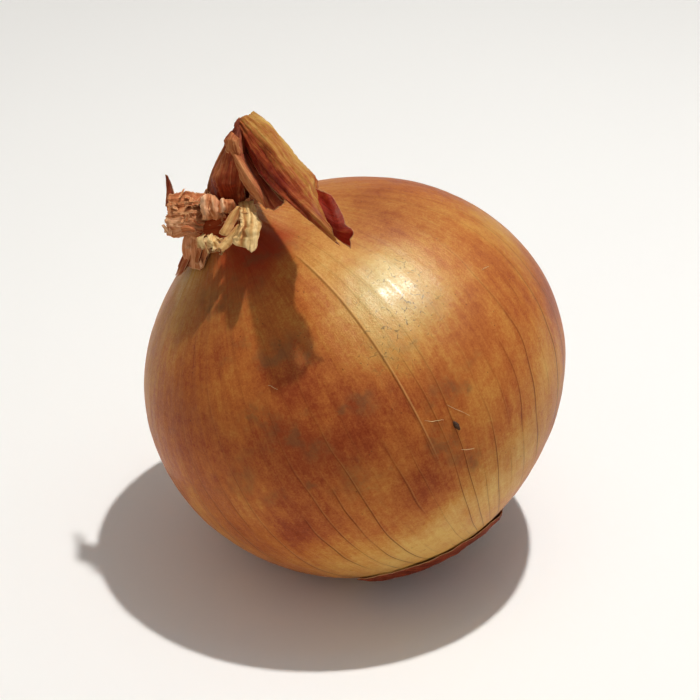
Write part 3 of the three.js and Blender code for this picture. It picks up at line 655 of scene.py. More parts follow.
def blade(
    rows, seed, across, tones=0.5, tear=0.1, jag=0.5, bite=1.7, notches=(), reach=1, sides=(0, 1),
    ragged=0.35, fray=0.35, sharp=0.0, pleat=0.16, ribs=0.6, crumple=0.7, crease=1, thick=0.26,
    outer=-1, under=0.55, cell=0.16,
):
    """A thin, pleated, torn sheet through rows of points, as in the part's source.

    The end, at reach of the rows' length, has across coarse teeth of depth tear, as in the source, and finer ones
    of depth jag (mm), bite of them in each millimetre; notches are (place across, depth in mm, spread). The sides
    lie at these places across and waver by ragged (mm). The rim is pale for about fray (mm). Pleats as high as
    pleat (mm) run along the sheet, ribs of them in each millimetre, under crumple times as high creases, which
    crease makes finer. The outer face lies on the side of the normal where outer is 1, and the other face is
    darker by under. cell is the mesh's step across (mm)."""
    width = np.mean([np.linalg.norm(np.diff(row, axis=0), axis=-1).sum() for row in rows])
    length = np.linalg.norm(np.diff([np.mean(row, axis=0) for row in rows], axis=0), axis=-1).sum()
    v = np.linspace(0, 1, max(8, int(width / cell)))[:, None]
    share = np.linspace(0, 1, max(8, int(length / (1.5 * cell))))[None, :]

    coarse = np.arange(across + 1)
    end = reach - tear * np.interp(v[:, 0] * across, coarse, draw(seed * 31 + coarse))
    end = end - jag / length * (0.5 + 0.5 * line_noise(v[:, 0] * width * bite, seed, 4, 0.7))
    for at, depth, spread in notches:
        end = end - depth / length * np.exp(-(((v[:, 0] - at) / spread) ** 2))
    u = share * end[:, None]
    left, right = [
        side + sign * ragged / width * (0.5 + 0.5 * line_noise(u * length * 0.9 + shift, seed + key, 4, 0.65))
        for side, sign, shift, key in ((sides[0], 1, 0, 1), (sides[1], -1, 50, 2))
    ]
    v = left + (right - left) * v

    points = sheet_points(rows, u, v, sharp)
    du = sheet_points(rows, u + NUDGE, v) - sheet_points(rows, u - NUDGE, v)
    dv = sheet_points(rows, u, v + NUDGE) - sheet_points(rows, u, v - NUDGE)
    normal = unit(np.cross(dv, du))

    x, y, own = v * width, u * length, seed * FIBRE_STEP
    creases = ridged(stack(x * 0.45 * crease, y * 0.38 * crease, own), 3, seed + 6, 0.55)
    offset = pleat * ridged(stack(x * ribs, y * 0.06, own), 2, seed + 5, 0.45)
    offset = offset + 0.3 * pleat * fractal(stack(x * 2.4, y * 0.15, own), 2, seed + 9)
    middle = points + normal * (offset + crumple * pleat * creases)[..., None]

    inset = np.minimum(np.minimum(v - left, right - v) * width, (end[:, None] - u) * length)
    half = normal * half_thickness(thick, inset)[..., None]
    tone = sheet_points(tones, u, v)[..., 0] if isinstance(tones, list) else tones + 0 * u
    tones = (tone, tone * under) if outer > 0 else (tone * under, tone)
    return sheet_mesh(middle + half, middle - half, tones, np.exp(-inset / fray), stack(x, y, own))


def shreds(leaf, count, width, stray, key, reach=(0.7, 1.05), start=0.0, out=0.4, thick=0.18, pleat=0.18):
    """Narrow strips torn loose from a leaf, side by side along it and lifted off its outer face a little."""
    strips = []
    for k, seed in enumerate(range(key, key + 40 * count, 40)):
        middle = (k + 0.5 + 0.5 * (draw(seed) - 0.5)) / count
        half = 0.5 * width * (0.6 + 0.8 * draw(seed + 1))
        stop = reach[0] + (reach[1] - reach[0]) * draw(seed + 2)
        lift = out * (0.3 + draw(seed + 3))
        rows, tones = [], []
        for step, u in enumerate(np.linspace(start + 0.15 * draw(seed + 4), stop, 5)):
            u = np.full(3, u)
            v = np.array([middle - half, middle, middle + half])
            point = sheet_points(leaf["rows"], u, v)
            du = sheet_points(leaf["rows"], u + NUDGE, v) - point
            dv = sheet_points(leaf["rows"], u, v + NUDGE) - point
            twist = np.array([-1, 0, 1])[:, None] * stray * (draw(seed + 5 + step) - 0.5)
            shift = stray * (draw(seed + 15 + step + 7 * np.arange(3)) - 0.5) * (step > 0)
            rows.append(point - unit(np.cross(dv, du)) * (lift * (0.25 + 0.25 * step) + twist) + shift)
            tones.append(sheet_points(leaf["tones"], u, v)[..., 0] + 0.3 * (draw(seed + 30) - 0.5))
        torn = dict(tear=0.08, jag=0.7, ragged=0.5, ribs=1.1, cell=0.14)
        strips.append(blade(rows, seed % 1000, 4, tones, thick=thick, pleat=pleat, **torn))
    return strips


def scraps(leaf, count, size, key, out=(0.15, 0.5)):
    """Small torn flakes that stand off a leaf's outer face, most of them turned along its fibre."""
    flakes = []
    for seed in range(key, key + 40 * count, 40):
        u, v = 0.1 + 0.8 * draw(seed), 0.06 + 0.84 * draw(seed + 1)
        corner = sheet_points(leaf["rows"], np.array([u, u + NUDGE, u]), np.array([v, v, v + NUDGE]))
        along, across = unit(corner[1] - corner[0]), unit(corner[2] - corner[0])
        away = -unit(np.cross(across, along))
        angle = math.pi * (draw(seed + 2) - 0.5) ** 3 * 8 + math.pi * (draw(seed + 7) > 0.5)
        length, width = size * (0.5 + 0.8 * draw(seed + 3)), size * (0.3 + 0.4 * draw(seed + 4))
        down = (along * math.cos(angle) + across * math.sin(angle)) * length
        side = (across * math.cos(angle) - along * math.sin(angle)) * width
        lift = out[0] + (out[1] - out[0]) * draw(seed + 5)
        rows = [
            [
                corner[0] + down * i + side * j + away * (lift * (1 + 0.8 * i) + 0.4 * width * (j * j - 0.5))
                for j in (-1, 0, 1)
            ]
            for i in (-1, 0, 1)
        ]
        tone = sheet_points(leaf["tones"], u, v)[0] + 0.5 * (draw(seed + 6) - 0.4)
        torn = dict(tear=0.25, jag=0.4, ragged=0.5, pleat=0.08, ribs=1.2, thick=0.09, cell=0.12)
        flakes.append(blade(rows, seed % 1000, 3, float(tone), **torn))
    return flakes


PEEL_THICKNESS = 0.28


def peel(turns, start, edge, lift, across, tear, columns, steps, tone, seed, jag=1.3, under=0.5, puff=None):
    """A thin sheet that follows the bulb between two turns, from the polar angle start to its torn edge, in
    degrees, as in the part's source. It stands off the bulb by lift[0] to lift[1] (mm), the most at its edge, or
    at puff[0] of its reach, within puff[1] of it."""
    share = np.linspace(0, 1, columns)
    turn = np.radians(turns[0] + (turns[1] - turns[0]) * share)[:, None]
    coarse = np.arange(across + 1)
    torn = spline_weights(len(edge), share) @ np.array(edge, float)
    torn = torn + tear * (np.interp(share * across, coarse, draw(seed * 17 + coarse)) - 0.5)
    teeth = jag * (0.5 + 0.5 * line_noise(share * across * 2.2, seed, 4, 0.7))
    torn = (torn - np.sign(torn.mean() - start) * teeth)[:, None]
    wave = np.interp(share * across, coarse, 0.8 + 0.4 * draw(seed * 23 + coarse))[:, None]
    reach = np.linspace(0, 1, steps)[None, :]
    polar = np.radians(start + (torn - start) * reach)
    rise = np.exp(-(((reach - puff[0]) / puff[1]) ** 2)) if puff else reach**2
    raised = lift[0] + (lift[1] - lift[0]) * wave * rise + PEEL_OFFSET
    spot = off_axis(1, turn, polar)
    raised = raised + 0.3 * reach * fractal(spot * np.array([9, 9, 1.6]), 3, seed + 3, 0.6)
    raised = raised + 0.4 * reach**6 * np.abs(line_noise(share * across * 0.5, seed + 4, 2))[:, None]
    sweep = abs(turns[1] - turns[0])
    ends = np.minimum(share, 1 - share)[:, None] * sweep * 0.45
    inset = np.minimum((1 - reach) * np.abs(torn - start) * 0.6, ends)  # about how many mm from the rim
    half = half_thickness(PEEL_THICKNESS, inset)
    front, back = (bulb_point(polar, turn, raised + away) for away in (half, -half))
    degree = np.radians(1) * EQUATOR_RADIUS
    fibre = stack(share[:, None] * sweep * degree * np.sin(polar), np.degrees(polar) * degree, seed * FIBRE_STEP)
    tones = tone + 0 * polar
    return sheet_mesh(front, back, (tones, under * tones), np.exp(-inset / 0.4), fibre, turned=True)


# The sheets: rows of points in millimetres from the foot of each to its torn end, and rows of tones for its outer
# face, from 0 dark to 1 pale.

# from the neck up to the crease
RISING_LEAF = dict(rows=[
    [[-1.5, 1.5, 41.5], [0.5, -2, 41.5], [2.5, -3.5, 41.5], [4, -2.5, 41.5]],
    [[-1, 2.5, 44.5], [2, -3, 45], [4.5, -4.5, 44.5], [6, -3, 44]],
    [[0, 3.5, 46.5], [3.5, -2, 48], [6, -4, 47], [7.5, -3, 45.5]],
    [[4, 3.5, 48.5], [6.5, -0.5, 50], [8.5, -2.5, 49.5], [9, -1.5, 48]],
    [[7, 3.5, 51], [8.5, 1, 51.5], [10, 1, 51.5], [11, 2.5, 50]],
    [[10, 4, 52.5], [11, 3.5, 53], [12, 4, 53], [12.5, 5, 52]],
], tones=[
    [0.2, 0.2, 0.2, 0.2], [0.45, 0.45, 0.55, 0.5, 0.45], [0.75, 0.8, 0.66, 0.5, 0.5],
    [0.78, 0.8, 0.72, 0.62, 0.56], [0.5, 0.4, 0.3, 0.36, 0.45], [0.1, 0.1, 0.3, 0.5, 0.5],
], across=7, tear=0, pleat=0.22, ribs=0.3, crumple=2.6, crease=0.8, ragged=0.15, sides=(-0.04, 1.04),
    sharp=0.4, seed=2)
# the far wall of the rising leaf
LEAF_BACK = dict(rows=[
    [[-2, 2, 41.5], [0.5, 4, 41.5], [3, 3, 41.5], [4.5, 0.5, 41.5]],
    [[-0.5, 3.5, 45], [2.5, 5.5, 44.5], [5.5, 4, 43.5], [7, 0, 43.5]],
    [[4, 4, 48.5], [6.5, 5.5, 47.5], [8.5, 4, 46.5], [9, 0.5, 46.5]],
    [[10, 4, 52], [11.5, 5, 51.5], [13, 5, 51], [14, 3.5, 50.5]],
], tones=0.45, across=6, tear=0, jag=0.1, reach=1.02, pleat=0.3, ragged=0.1, sides=(-0.12, 1.08), outer=1,
    seed=4)
# from the crease down over the shoulder
FOLDED_LEAF = dict(rows=[
    [[9.5, 4, 52], [10.5, 3, 52.5], [11.5, 3, 53], [12.5, 4, 52.5], [13, 5.5, 52]],
    [[10, -1, 49.8], [11.7, -2.6, 51], [13.6, -3, 51.3], [15.3, -2, 51.2], [15.5, 1, 50]],
    [[11.1, -7, 47.5], [13.4, -8.4, 48.6], [15.7, -9, 49.2], [17, -7, 48.8], [17, -4, 47.8]],
    [[13.4, -14, 46], [15.5, -15, 46.6], [17.4, -14.8, 46.8], [18.5, -12, 46.4], [18.2, -8, 45.2]],
    [[16.4, -21.5, 44.7], [17.8, -21.6, 45], [19.2, -20.4, 44.8], [20.3, -16.5, 44.7], [20, -12.5, 43.5]],
    [[19.2, -27.2, 41.9], [20.2, -27, 42.9], [20.6, -24.5, 43.3], [20.4, -19.5, 43.3], [20.1, -14.5, 42.4]],
    [[20.9, -28, 35.3], [21.2, -28.6, 37.3], [21.2, -27, 39.6], [20, -22.5, 41.4], [18.9, -17, 42]],
], tones=[
    [0.2, 0.26, 0.36, 0.46, 0.5, 0.5, 0.56, 0.62, 0.66],
    [0.02, 0.06, 0.24, 0.36, 0.52, 0.62, 0.48, 0.6, 0.72],
    [0.02, 0.04, 0.16, 0.3, 0.4, 0.56, 0.5, 0.64, 0.74],
    [0.02, 0.04, 0.12, 0.26, 0.36, 0.46, 0.56, 0.68, 0.72],
    [0.16, 0.18, 0.22, 0.3, 0.38, 0.46, 0.54, 0.5, 0.44], [0.3, 0.3, 0.32, 0.36, 0.4, 0.44, 0.42, 0.36, 0.3],
    [0.34, 0.34, 0.36, 0.4, 0.44, 0.44, 0.42, 0.38, 0.34],
], across=12, tear=0.02, jag=0.8, bite=0.9, pleat=0.2, ribs=0.8, ragged=0.2, sides=(-0.03, 1), sharp=0.5,
    fray=0.12, seed=3)
# the strip that split from the folded leaf
SPLIT_STRIP = dict(rows=[
    [[6.4, 1, 50.3], [7.8, 0, 51.4], [9.2, -0.2, 51.5], [10.2, 1.5, 51.5]],
    [[6.3, -0.8, 49.4], [8, -2.2, 50.5], [9.1, -1.8, 50], [10, -0.4, 49.3]],
    [[6.6, -3, 47.9], [8.6, -5, 49.1], [9.4, -4.4, 48.2], [10.6, -3.8, 47.8]],
    [[6.8, -5.4, 46.2], [9.2, -7.8, 47.7], [9.9, -7.2, 46.6], [11.3, -7.4, 46.3]],
    [[7.5, -8, 44.6], [9.9, -10.6, 45.9], [10.9, -10.8, 45.1], [12.7, -12, 45.1]],
    [[8.5, -10, 43.5], [10.3, -12.8, 44.5], [11.4, -13.6, 43.7], [14.1, -16, 44.3]],
    [[9.4, -11.8, 42.6], [10.2, -14.4, 42.5], [11.8, -16.4, 42.3], [16.3, -20.6, 44.3]],
], tones=[
    [0.8, 0.66, 0.3, 0.1], [0.85, 0.6, 0.24, 0.04], [0.76, 0.6, 0.24, 0.03], [0.66, 0.64, 0.3, 0.04],
    [0.64, 0.56, 0.3, 0.12], [0.7, 0.5, 0.3, 0.22], [0.9, 0.5, 0.36, 0.36],
], across=7, tear=0.04, jag=0.8, pleat=0.14, ribs=0.8, ragged=0.25, sides=(0, 0.96), sharp=0.7, seed=5)
# the inside of the leaf, between its split strip and its fold
GROOVE = dict(rows=[
    [[8.5, 1.5, 52.1], [9.6, 2.2, 52.2], [10.6, 2.6, 52.4]],
    [[8.3, -1.2, 49], [9.8, 0, 49.4], [11.4, -1.2, 50.4]],
    [[8.7, -4.6, 46.8], [10.5, -4.4, 47.1], [12.9, -6.8, 48]],
    [[10.3, -9.6, 44.4], [12.4, -10.4, 45], [14.8, -12.6, 46.1]],
    [[11.5, -14.6, 42], [13.9, -16.6, 43], [16.7, -19.4, 44.4]],
], tones=[
    [0.2, 0.05, 0.2], [0.16, 0.04, 0.14], [0.22, 0.12, 0.2], [0.6, 0.4, 0.42], [0.75, 0.5, 0.65],
], across=6, tear=0.05, pleat=0.2, under=1, seed=6)
# a curled flake at the crease
CURLED_FLAKE = dict(rows=[
    [[8.2, 1.6, 52.3], [9.5, -0.4, 52.8], [9.9, -1, 52.1], [9.7, -0.2, 50.9]],
    [[6.9, 0.8, 51.9], [8.6, -1.6, 52.6], [9.6, -2.6, 52.1], [9.3, -0.8, 50.1]],
    [[6.7, -0.4, 50.9], [8.2, -2, 51.4], [9, -3, 50.7], [9, -1.6, 49]],
    [[7, -1.8, 49.7], [8.1, -3, 49.9], [8.5, -3.4, 49.4], [8.4, -2.6, 48.1]],
    [[7.4, -3.2, 48.7], [8.1, -4.2, 48.8], [8.5, -4.2, 48.3], [8.5, -3.8, 47.6]],
], tones=[
    [0.5, 0.56, 0.6, 0.7], [0.5, 0.58, 0.62, 0.95], [0.55, 0.6, 0.5, 0.95], [0.5, 0.62, 0.55, 0.6],
    [0.45, 0.5, 0.5, 0.5],
], across=5, tear=0.06, jag=0.7, bite=1.2, pleat=0.14, ribs=0.9, crumple=2.2, crease=1.6, ragged=0.5,
    thick=0.12, seed=7)
# the dark red leaf that shows past the torn end
INNER_LEAF = dict(rows=[
    [[12.8, -8.6, 45.1], [15.6, -11, 46.4], [17.4, -10, 45.7]],
    [[15.1, -16.6, 43.3], [17.6, -16.8, 44.3], [18.3, -13.6, 43]],
    [[18.5, -23.6, 41.3], [20.2, -22.4, 42.1], [20.7, -18, 43.1]],
    [[20.8, -27, 37], [22.1, -26.2, 39.6], [22.1, -20.4, 43.2]],
    [[21.8, -28, 34.9], [24, -27.6, 37.4], [23.3, -24, 40.8], [23, -21.6, 42.4]],
], across=9, tear=0.05, reach=1.05, jag=0.45, notches=[(0.43, 1.7, 0.09), (0.15, 0.7, 0.05)], pleat=0.06,
    under=1, seed=8)
# the wrinkled flap at the left
BAG = dict(rows=[
    [[-0.5, -0.2, 45.7], [-1.2, -1.2, 45.1], [-1.3, -2.3, 44.7], [-1.5, -3.1, 44.4], [-1.8, -3.9, 43.9],
     [-2.5, -4.5, 43.5], [-3.2, -5.1, 43], [-3.9, -5.5, 42.3], [-4.7, -5.6, 41.5], [-5.5, -5.7, 40.9]],
    [[-2, 0, 47], [-2.5, -1.3, 46.2], [-2.6, -2.7, 46.2], [-2.8, -3.4, 45.9], [-3.1, -4.5, 45.6],
     [-3.6, -5.1, 45.1], [-4.2, -5.9, 44.6], [-5, -6.2, 43.7], [-5.8, -6.4, 42.9], [-6.6, -6.2, 42]],
    [[-3.7, 0.7, 48], [-4.2, -0.7, 47.1], [-4.3, -2.3, 47.1], [-4.6, -3, 46.6], [-4.9, -4.2, 46.4],
     [-5.3, -4.8, 45.8], [-5.8, -5.8, 45.3], [-6.3, -6.1, 44.5], [-6.9, -6.2, 43.8], [-7, -6, 43]],
    [[-5.9, 1.4, 48.6], [-6.5, 0.1, 47.9], [-6.6, -1.3, 47.6], [-7, -2, 47.3], [-7.2, -3, 46.9],
     [-7.5, -3.6, 46.4], [-7.9, -4.5, 45.7], [-8.5, -4.8, 44.9], [-9, -5, 43.9], [-8.8, -4.8, 43]],
    [[-7.4, 2.4, 49], [-8.2, 1.4, 48.4], [-8.6, 0.2, 48], [-8.8, -0.5, 47.6], [-9.1, -1.4, 47.2],
     [-9.6, -2, 47], [-10, -2.9, 46.6], [-10.5, -3.4, 45.8], [-10.7, -3.8, 44.8], [-10.4, -4, 43.5]],
], tones=[
    [0.5, 0.48, 0.56, 0.5, 0.6, 0.56, 0.66, 0.6, 0.55, 0.5],
    [0.52, 0.54, 0.66, 0.56, 0.76, 0.64, 0.8, 0.72, 0.72, 0.58],
    [0.54, 0.6, 0.72, 0.6, 0.82, 0.7, 0.86, 0.76, 0.78, 0.64],
    [0.54, 0.62, 0.7, 0.6, 0.8, 0.74, 0.84, 0.82, 0.82, 0.7],
    [0.55, 0.64, 0.7, 0.66, 0.8, 0.78, 0.88, 0.88, 0.9, 0.84],
], across=11, tear=0.05, jag=1.1, bite=1.6, pleat=0.1, ribs=2.2, crumple=3, crease=1.7, ragged=0.7, thick=0.1,
    sharp=0.5, seed=11)
# the spike on its end
SPIKE = dict(rows=[
    [[-9.2, 1.6, 47.1], [-8.2, 0.2, 47], [-7.2, -0.8, 47.2]],
    [[-8.3, 3, 48.1], [-7.5, 1.8, 47.9], [-6.4, 1.2, 47.8]],
    [[-7.5, 3.7, 49.2], [-6.9, 3.1, 48.9], [-6.4, 3.2, 48.7]],
    [[-6.9, 4, 50.2], [-6.5, 3.6, 50], [-6.3, 3.8, 49.7]],
    [[-6.4, 4.2, 51.2], [-6.2, 4, 51.1], [-6.2, 4.1, 50.9]],
], tones=[
    [0.5, 0.45, 0.4], [0.55, 0.5, 0.35], [0.4, 0.4, 0.3], [0.3, 0.32, 0.28], [0.2, 0.2, 0.2],
], across=2, tear=0, jag=0.2, ragged=0.15, pleat=0.12, thick=0.16, cell=0.12, seed=12)
MIDDLE_FOLD = dict(rows=[
    [[-2.1, -0.5, 45.3], [-0.7, -0.8, 45.5], [-0.1, -0.8, 44.8], [-0.2, -0.2, 43.2]],
    [[-1.3, -5, 47], [0.6, -6.6, 48.1], [1, -6.4, 47.4], [1.6, -6.8, 47.1], [1.6, -5.2, 45]],
    [[-1.4, -6.8, 46.6], [-0.1, -8.4, 47.1], [0.3, -7.9, 46.3], [1.2, -8.5, 46], [1.4, -6.4, 44]],
    [[-1.8, -7.4, 45.3], [-0.5, -9, 45.9], [-0.1, -8.4, 45], [0.9, -8.8, 44.6], [1.5, -6.8, 43]],
    [[-2.4, -7, 44.3], [-1.5, -8.4, 44.3], [-1.1, -7.8, 43.4], [0, -8, 43.1], [1, -6.6, 42]],
], tones=[
    [0.7, 0.76, 0.7], [0.76, 0.95, 0.74, 0.88, 0.68], [0.78, 1, 0.78, 0.9, 0.7], [0.74, 1, 0.8, 0.88, 0.7],
    [0.7, 0.9, 0.8, 0.8, 0.64],
], across=7, tear=0.08, jag=0.9, bite=1.4, pleat=0.12, ribs=1.7, crumple=1.2, crease=1.6, ragged=0.3,
    thick=0.16, sharp=0.6, seed=13)
RIGHT_FOLD = dict(rows=[
    [[0, -1.5, 43.6], [1.4, -2, 43.9], [2.2, -2, 43.4], [2.5, -1.6, 42]],
    [[1.1, -6.4, 45.1], [3, -8.2, 46.3], [3.3, -7.2, 45.3], [4.1, -7.4, 44.9], [3.7, -5.6, 42.9]],
    [[1.2, -8, 44.8], [2.7, -9.4, 45.4], [2.9, -8.2, 44.5], [3.3, -8, 43.9], [3.1, -6.2, 42.5]],
    [[0.6, -8, 44.1], [1.7, -9, 44.2], [2, -8.2, 43.5], [2.4, -7, 42.7]],
], tones=[
    [0.6, 0.66, 0.6, 0.56], [0.66, 1, 0.6, 0.7, 0.55], [0.66, 1, 0.6, 0.7, 0.55], [0.6, 0.8, 0.6, 0.6],
], across=6, jag=0.9, bite=1.4, pleat=0.12, ribs=1.6, crumple=1.2, crease=1.5, ragged=0.4, thick=0.16,
    sharp=0.7, seed=14)
# the rim behind the pale flap
LIP = dict(rows=[
    [[-0.3, 0, 43.3], [-0.3, -1, 43.3], [-0.4, -1.6, 42.7]],
    [[1.8, 0, 42.7], [1.8, -1.6, 42.6], [1.6, -2.6, 42.2]],
    [[3.9, -0.4, 41.7], [4.1, -2.5, 41.9], [3.9, -3.6, 41.5]],
    [[5.9, -1.4, 40.5], [6.1, -3.4, 40.7], [5.8, -4.6, 40.5]],
], tones=[
    [0.6, 0.6, 0.5], [0.62, 0.6, 0.5], [0.6, 0.55, 0.5], [0.55, 0.5, 0.4],
], across=5, tear=0.02, pleat=0.14, thick=0.16, seed=15)
SHOULDER_FLAP = dict(rows=[
    [[-7.6, -4.2, 43.2], [-6, -5.2, 43.5], [-5.1, -5, 42.8], [-4.1, -5.8, 41.9], [-3.6, -6.4, 40.5]],
    [[-9, -3.6, 41.6], [-7.5, -5, 41.8], [-6.5, -5, 41.1], [-5.3, -6, 40.5], [-4, -7, 39.6]],
    [[-10.3, -2.8, 39.9], [-8.9, -4.2, 39.9], [-7.5, -5.2, 39.6], [-6.2, -6.6, 39.3], [-4.6, -8, 38.9]],
    [[-11.2, -2.4, 38.1], [-9.8, -4.4, 38.2], [-8.5, -6, 38.1], [-7.2, -7.4, 38.1], [-5.9, -8.4, 38.4]],
    [[-11.1, -3.6, 36.9], [-10.1, -5.4, 36.9], [-9.1, -6.8, 36.9], [-8.4, -7.8, 36.9], [-7.3, -8.4, 37.5]],
], tones=[
    [0.6, 0.66, 0.6, 0.66, 0.56], [0.66, 0.76, 0.62, 0.72, 0.56], [0.68, 0.76, 0.66, 0.7, 0.5],
    [0.64, 0.7, 0.66, 0.68, 0.5], [0.6, 0.66, 0.62, 0.64, 0.5],
], across=3, tear=0.03, jag=0.4, bite=0.9, pleat=0.08, ribs=0.8, crumple=2, crease=0.8, ragged=0.3,
    thick=0.14, sharp=0.3, seed=16)
SHOULDER_TONGUE = dict(rows=[
    [[-6, -5.2, 39.7], [-5.1, -6.4, 39.6], [-4.2, -7.5, 39]],
    [[-6.7, -5.7, 38.6], [-6, -6.7, 38.6], [-5.3, -7.6, 38.4]],
    [[-7.6, -6, 37.6], [-7.2, -6.8, 37.5], [-6.5, -7.3, 37.6]],
    [[-8.6, -7.1, 36.7], [-8.4, -7.4, 36.6], [-8.1, -7.5, 36.7]],
], tones=[
    [0.5, 0.56, 0.45], [0.44, 0.54, 0.42], [0.44, 0.5, 0.42], [0.42, 0.44, 0.4],
], across=3, tear=0, jag=0.3, ragged=0.2, pleat=0.1, thick=0.14, cell=0.12, seed=17)
HIGH_CURL = dict(rows=[
    [[-6.4, -6.6, 45.6], [-6.3, -7.4, 45], [-7.1, -6.8, 44.3]],
    [[-5.3, -7, 45.3], [-5.2, -8, 45], [-6.1, -7.2, 44.1]],
    [[-4.6, -7.2, 44.5], [-4.4, -8.4, 44.4], [-5.1, -7.6, 43.7]],
    [[-4.2, -7, 43.2], [-4.2, -8, 43.1], [-4.8, -7.4, 42.7]],
], tones=[
    [0.75, 0.95, 0.75], [0.75, 1, 0.7], [0.7, 0.85, 0.66], [0.65, 0.75, 0.6],
], across=4, tear=0.15, jag=0.8, ragged=0.5, pleat=0.2, thick=0.14, cell=0.12, seed=18)
MIDDLE_CURL = dict(rows=[
    [[-3.8, -6.2, 45.4], [-3.6, -6.9, 45.3], [-4.1, -6.6, 44.9]],
    [[-3, -7.2, 44.6], [-2.9, -7.8, 44.4], [-3.4, -7.4, 44.1]],
    [[-1.8, -7.6, 44.3], [-1.6, -8.2, 44.1], [-2.1, -7.8, 43.7]],
], tones=[
    [0.7, 0.85, 0.7], [0.8, 1, 0.7], [0.8, 0.95, 0.7],
], across=3, tear=0.2, jag=0.6, ragged=0.4, pleat=0.15, thick=0.14, cell=0.12, seed=19)
LOW_CURL = dict(rows=[
    [[-4.3, -6.8, 44.3], [-4.2, -7.6, 44], [-4.7, -7.2, 43.7]],
    [[-3.7, -7.6, 43.7], [-3.5, -8.2, 43.5], [-3.9, -7.8, 43]],
    [[-3.1, -7.8, 42.9], [-3, -8.2, 42.7], [-3.2, -8, 42.4]],
], tones=[
    [0.65, 0.85, 0.65], [0.75, 1, 0.7], [0.75, 1, 0.7],
], across=3, ragged=0.3, pleat=0.15, thick=0.14, cell=0.12, seed=26)
PALE_FLAP = dict(rows=[
    [[3.8, -4.8, 43.1], [4.6, -5.2, 43.3], [5.1, -5.3, 43.2], [5.7, -5.6, 43], [6, -5.4, 42.6],
     [6.3, -5.1, 42.1], [6.2, -4.7, 41.4]],
    [[4.7, -8.8, 43.7], [5.3, -9.5, 43.7], [5.7, -9.5, 43.4], [6.4, -10.2, 43.4], [6.8, -10.1, 43.1],
     [7.2, -9.8, 42.6], [7.3, -9, 41.9]],
    [[4.8, -11.4, 43.4], [5.3, -12.1, 43.3], [5.7, -12.1, 43], [6.6, -12.9, 42.9], [7, -12.9, 42.6],
     [7.5, -12.6, 42.3], [7.7, -11.8, 41.4]],
    [[4.5, -13.4, 42.6], [4.9, -14.1, 42.5], [5.3, -14.1, 42.2], [6.1, -15.3, 42.4], [6.8, -15.5, 42.3],
     [7.6, -15.4, 41.9], [8.3, -14.7, 41.2]],
    [[2.8, -14.4, 42], [3.7, -15.2, 41.6], [4.4, -15.5, 41.4], [5.4, -17.1, 41.6], [6.2, -17.6, 41.5],
     [7, -17.6, 41.2], [7.4, -16.9, 40.7]],
    [[1.6, -15.1, 41.6], [2.5, -16.2, 40.8], [3.5, -16.9, 40.3], [4.5, -18.9, 40.5], [5, -20.1, 39.6],
     [5.6, -19.8, 39.6], [6.5, -18.9, 40.1]],
], tones=[
    [0.35, 0.5, 0.4, 0.55, 0.5, 0.6, 0.5], [0.5, 0.85, 0.45, 0.8, 0.6, 0.8, 0.6],
    [0.55, 0.85, 0.5, 0.9, 0.7, 0.9, 0.7], [0.5, 0.8, 0.45, 0.85, 0.75, 0.9, 0.75],
    [0.75, 0.9, 0.4, 0.95, 0.85, 0.95, 0.8], [0.85, 0.95, 0.6, 0.95, 1, 1, 0.85],
], across=8, tear=0.02, bite=1.2, pleat=0.09, crumple=4, crease=1.1, ragged=0.3, thick=0.12, sharp=0.85,
    seed=21)
PALE_CURL = dict(rows=[
    [[4.5, -8.6, 44.2], [5.3, -9.8, 44.3], [5.3, -9.4, 43.2]],
    [[3, -10.4, 44.2], [3.7, -11, 43.7], [3.8, -11, 42.4]],
    [[1.3, -12, 43.8], [2.1, -12.6, 43.1], [2.4, -12.6, 42]],
    [[-0.1, -13, 43.2], [0.6, -13.5, 42.6], [0.9, -13.6, 41.6]],
], tones=[
    [0.4, 0.6, 0.4], [0.36, 0.6, 0.3], [0.36, 0.62, 0.3], [0.45, 0.65, 0.5],
], across=3, jag=0.7, ragged=0.5, pleat=0.12, ribs=1.4, crumple=1.6, crease=1.5, thick=0.1, cell=0.12,
    seed=22)
LOW_PALE_CURL = dict(rows=[
    [[3.6, -11.4, 42.3], [4.2, -12.4, 42.3], [4, -12, 41.1]],
    [[1.8, -12.8, 42.3], [2.2, -13.2, 41.6], [2.1, -13.4, 40.4]],
    [[0.1, -13.8, 42.2], [0.6, -14.2, 41.5], [0.8, -14.2, 40.2]],
    [[-1.4, -14.8, 41.8], [-1.1, -15.4, 41.5], [-1, -15.2, 40.8]],
], tones=[
    [0.45, 0.6, 0.5], [0.4, 0.6, 0.4], [0.4, 0.65, 0.45], [0.55, 0.75, 0.6],
], across=3, jag=0.7, ragged=0.5, pleat=0.12, ribs=1.4, crumple=1.6, crease=1.5, thick=0.1, cell=0.12,
    seed=24)
PALE_TUFT = dict(rows=[
    [[-5.2, -7.2, 41.8], [-3.4, -8, 42.1], [-2.3, -8.6, 42], [-1.5, -9, 41.2], [-1, -9.4, 40.4]],
    [[-4.8, -9.6, 42.4], [-3, -11.4, 42.8], [-1.5, -12.6, 42.8], [-0.8, -12.4, 42], [-0.4, -11.8, 40.8]],
    [[-4.1, -11, 41.9], [-2.7, -12.6, 42.2], [-1.6, -13.8, 42.2], [-1, -13.6, 41.5], [-0.9, -12.8, 40.6]],
    [[-3.7, -11.6, 41.5], [-2.9, -12.6, 41.4], [-2, -13.8, 41.3], [-1.5, -14, 41.1], [-1.3, -13.4, 40.8]],
], tones=[
    [0.6, 0.8, 0.85, 0.8, 0.6], [0.7, 0.9, 0.95, 0.9, 0.7], [0.6, 0.85, 0.9, 0.9, 0.7],
    [0.6, 0.8, 0.8, 0.8, 0.6],
], across=6, tear=0.12, jag=0.9, bite=1.6, ragged=0.6, pleat=0.34, ribs=1.3, crumple=1.2, thick=0.3, seed=23)
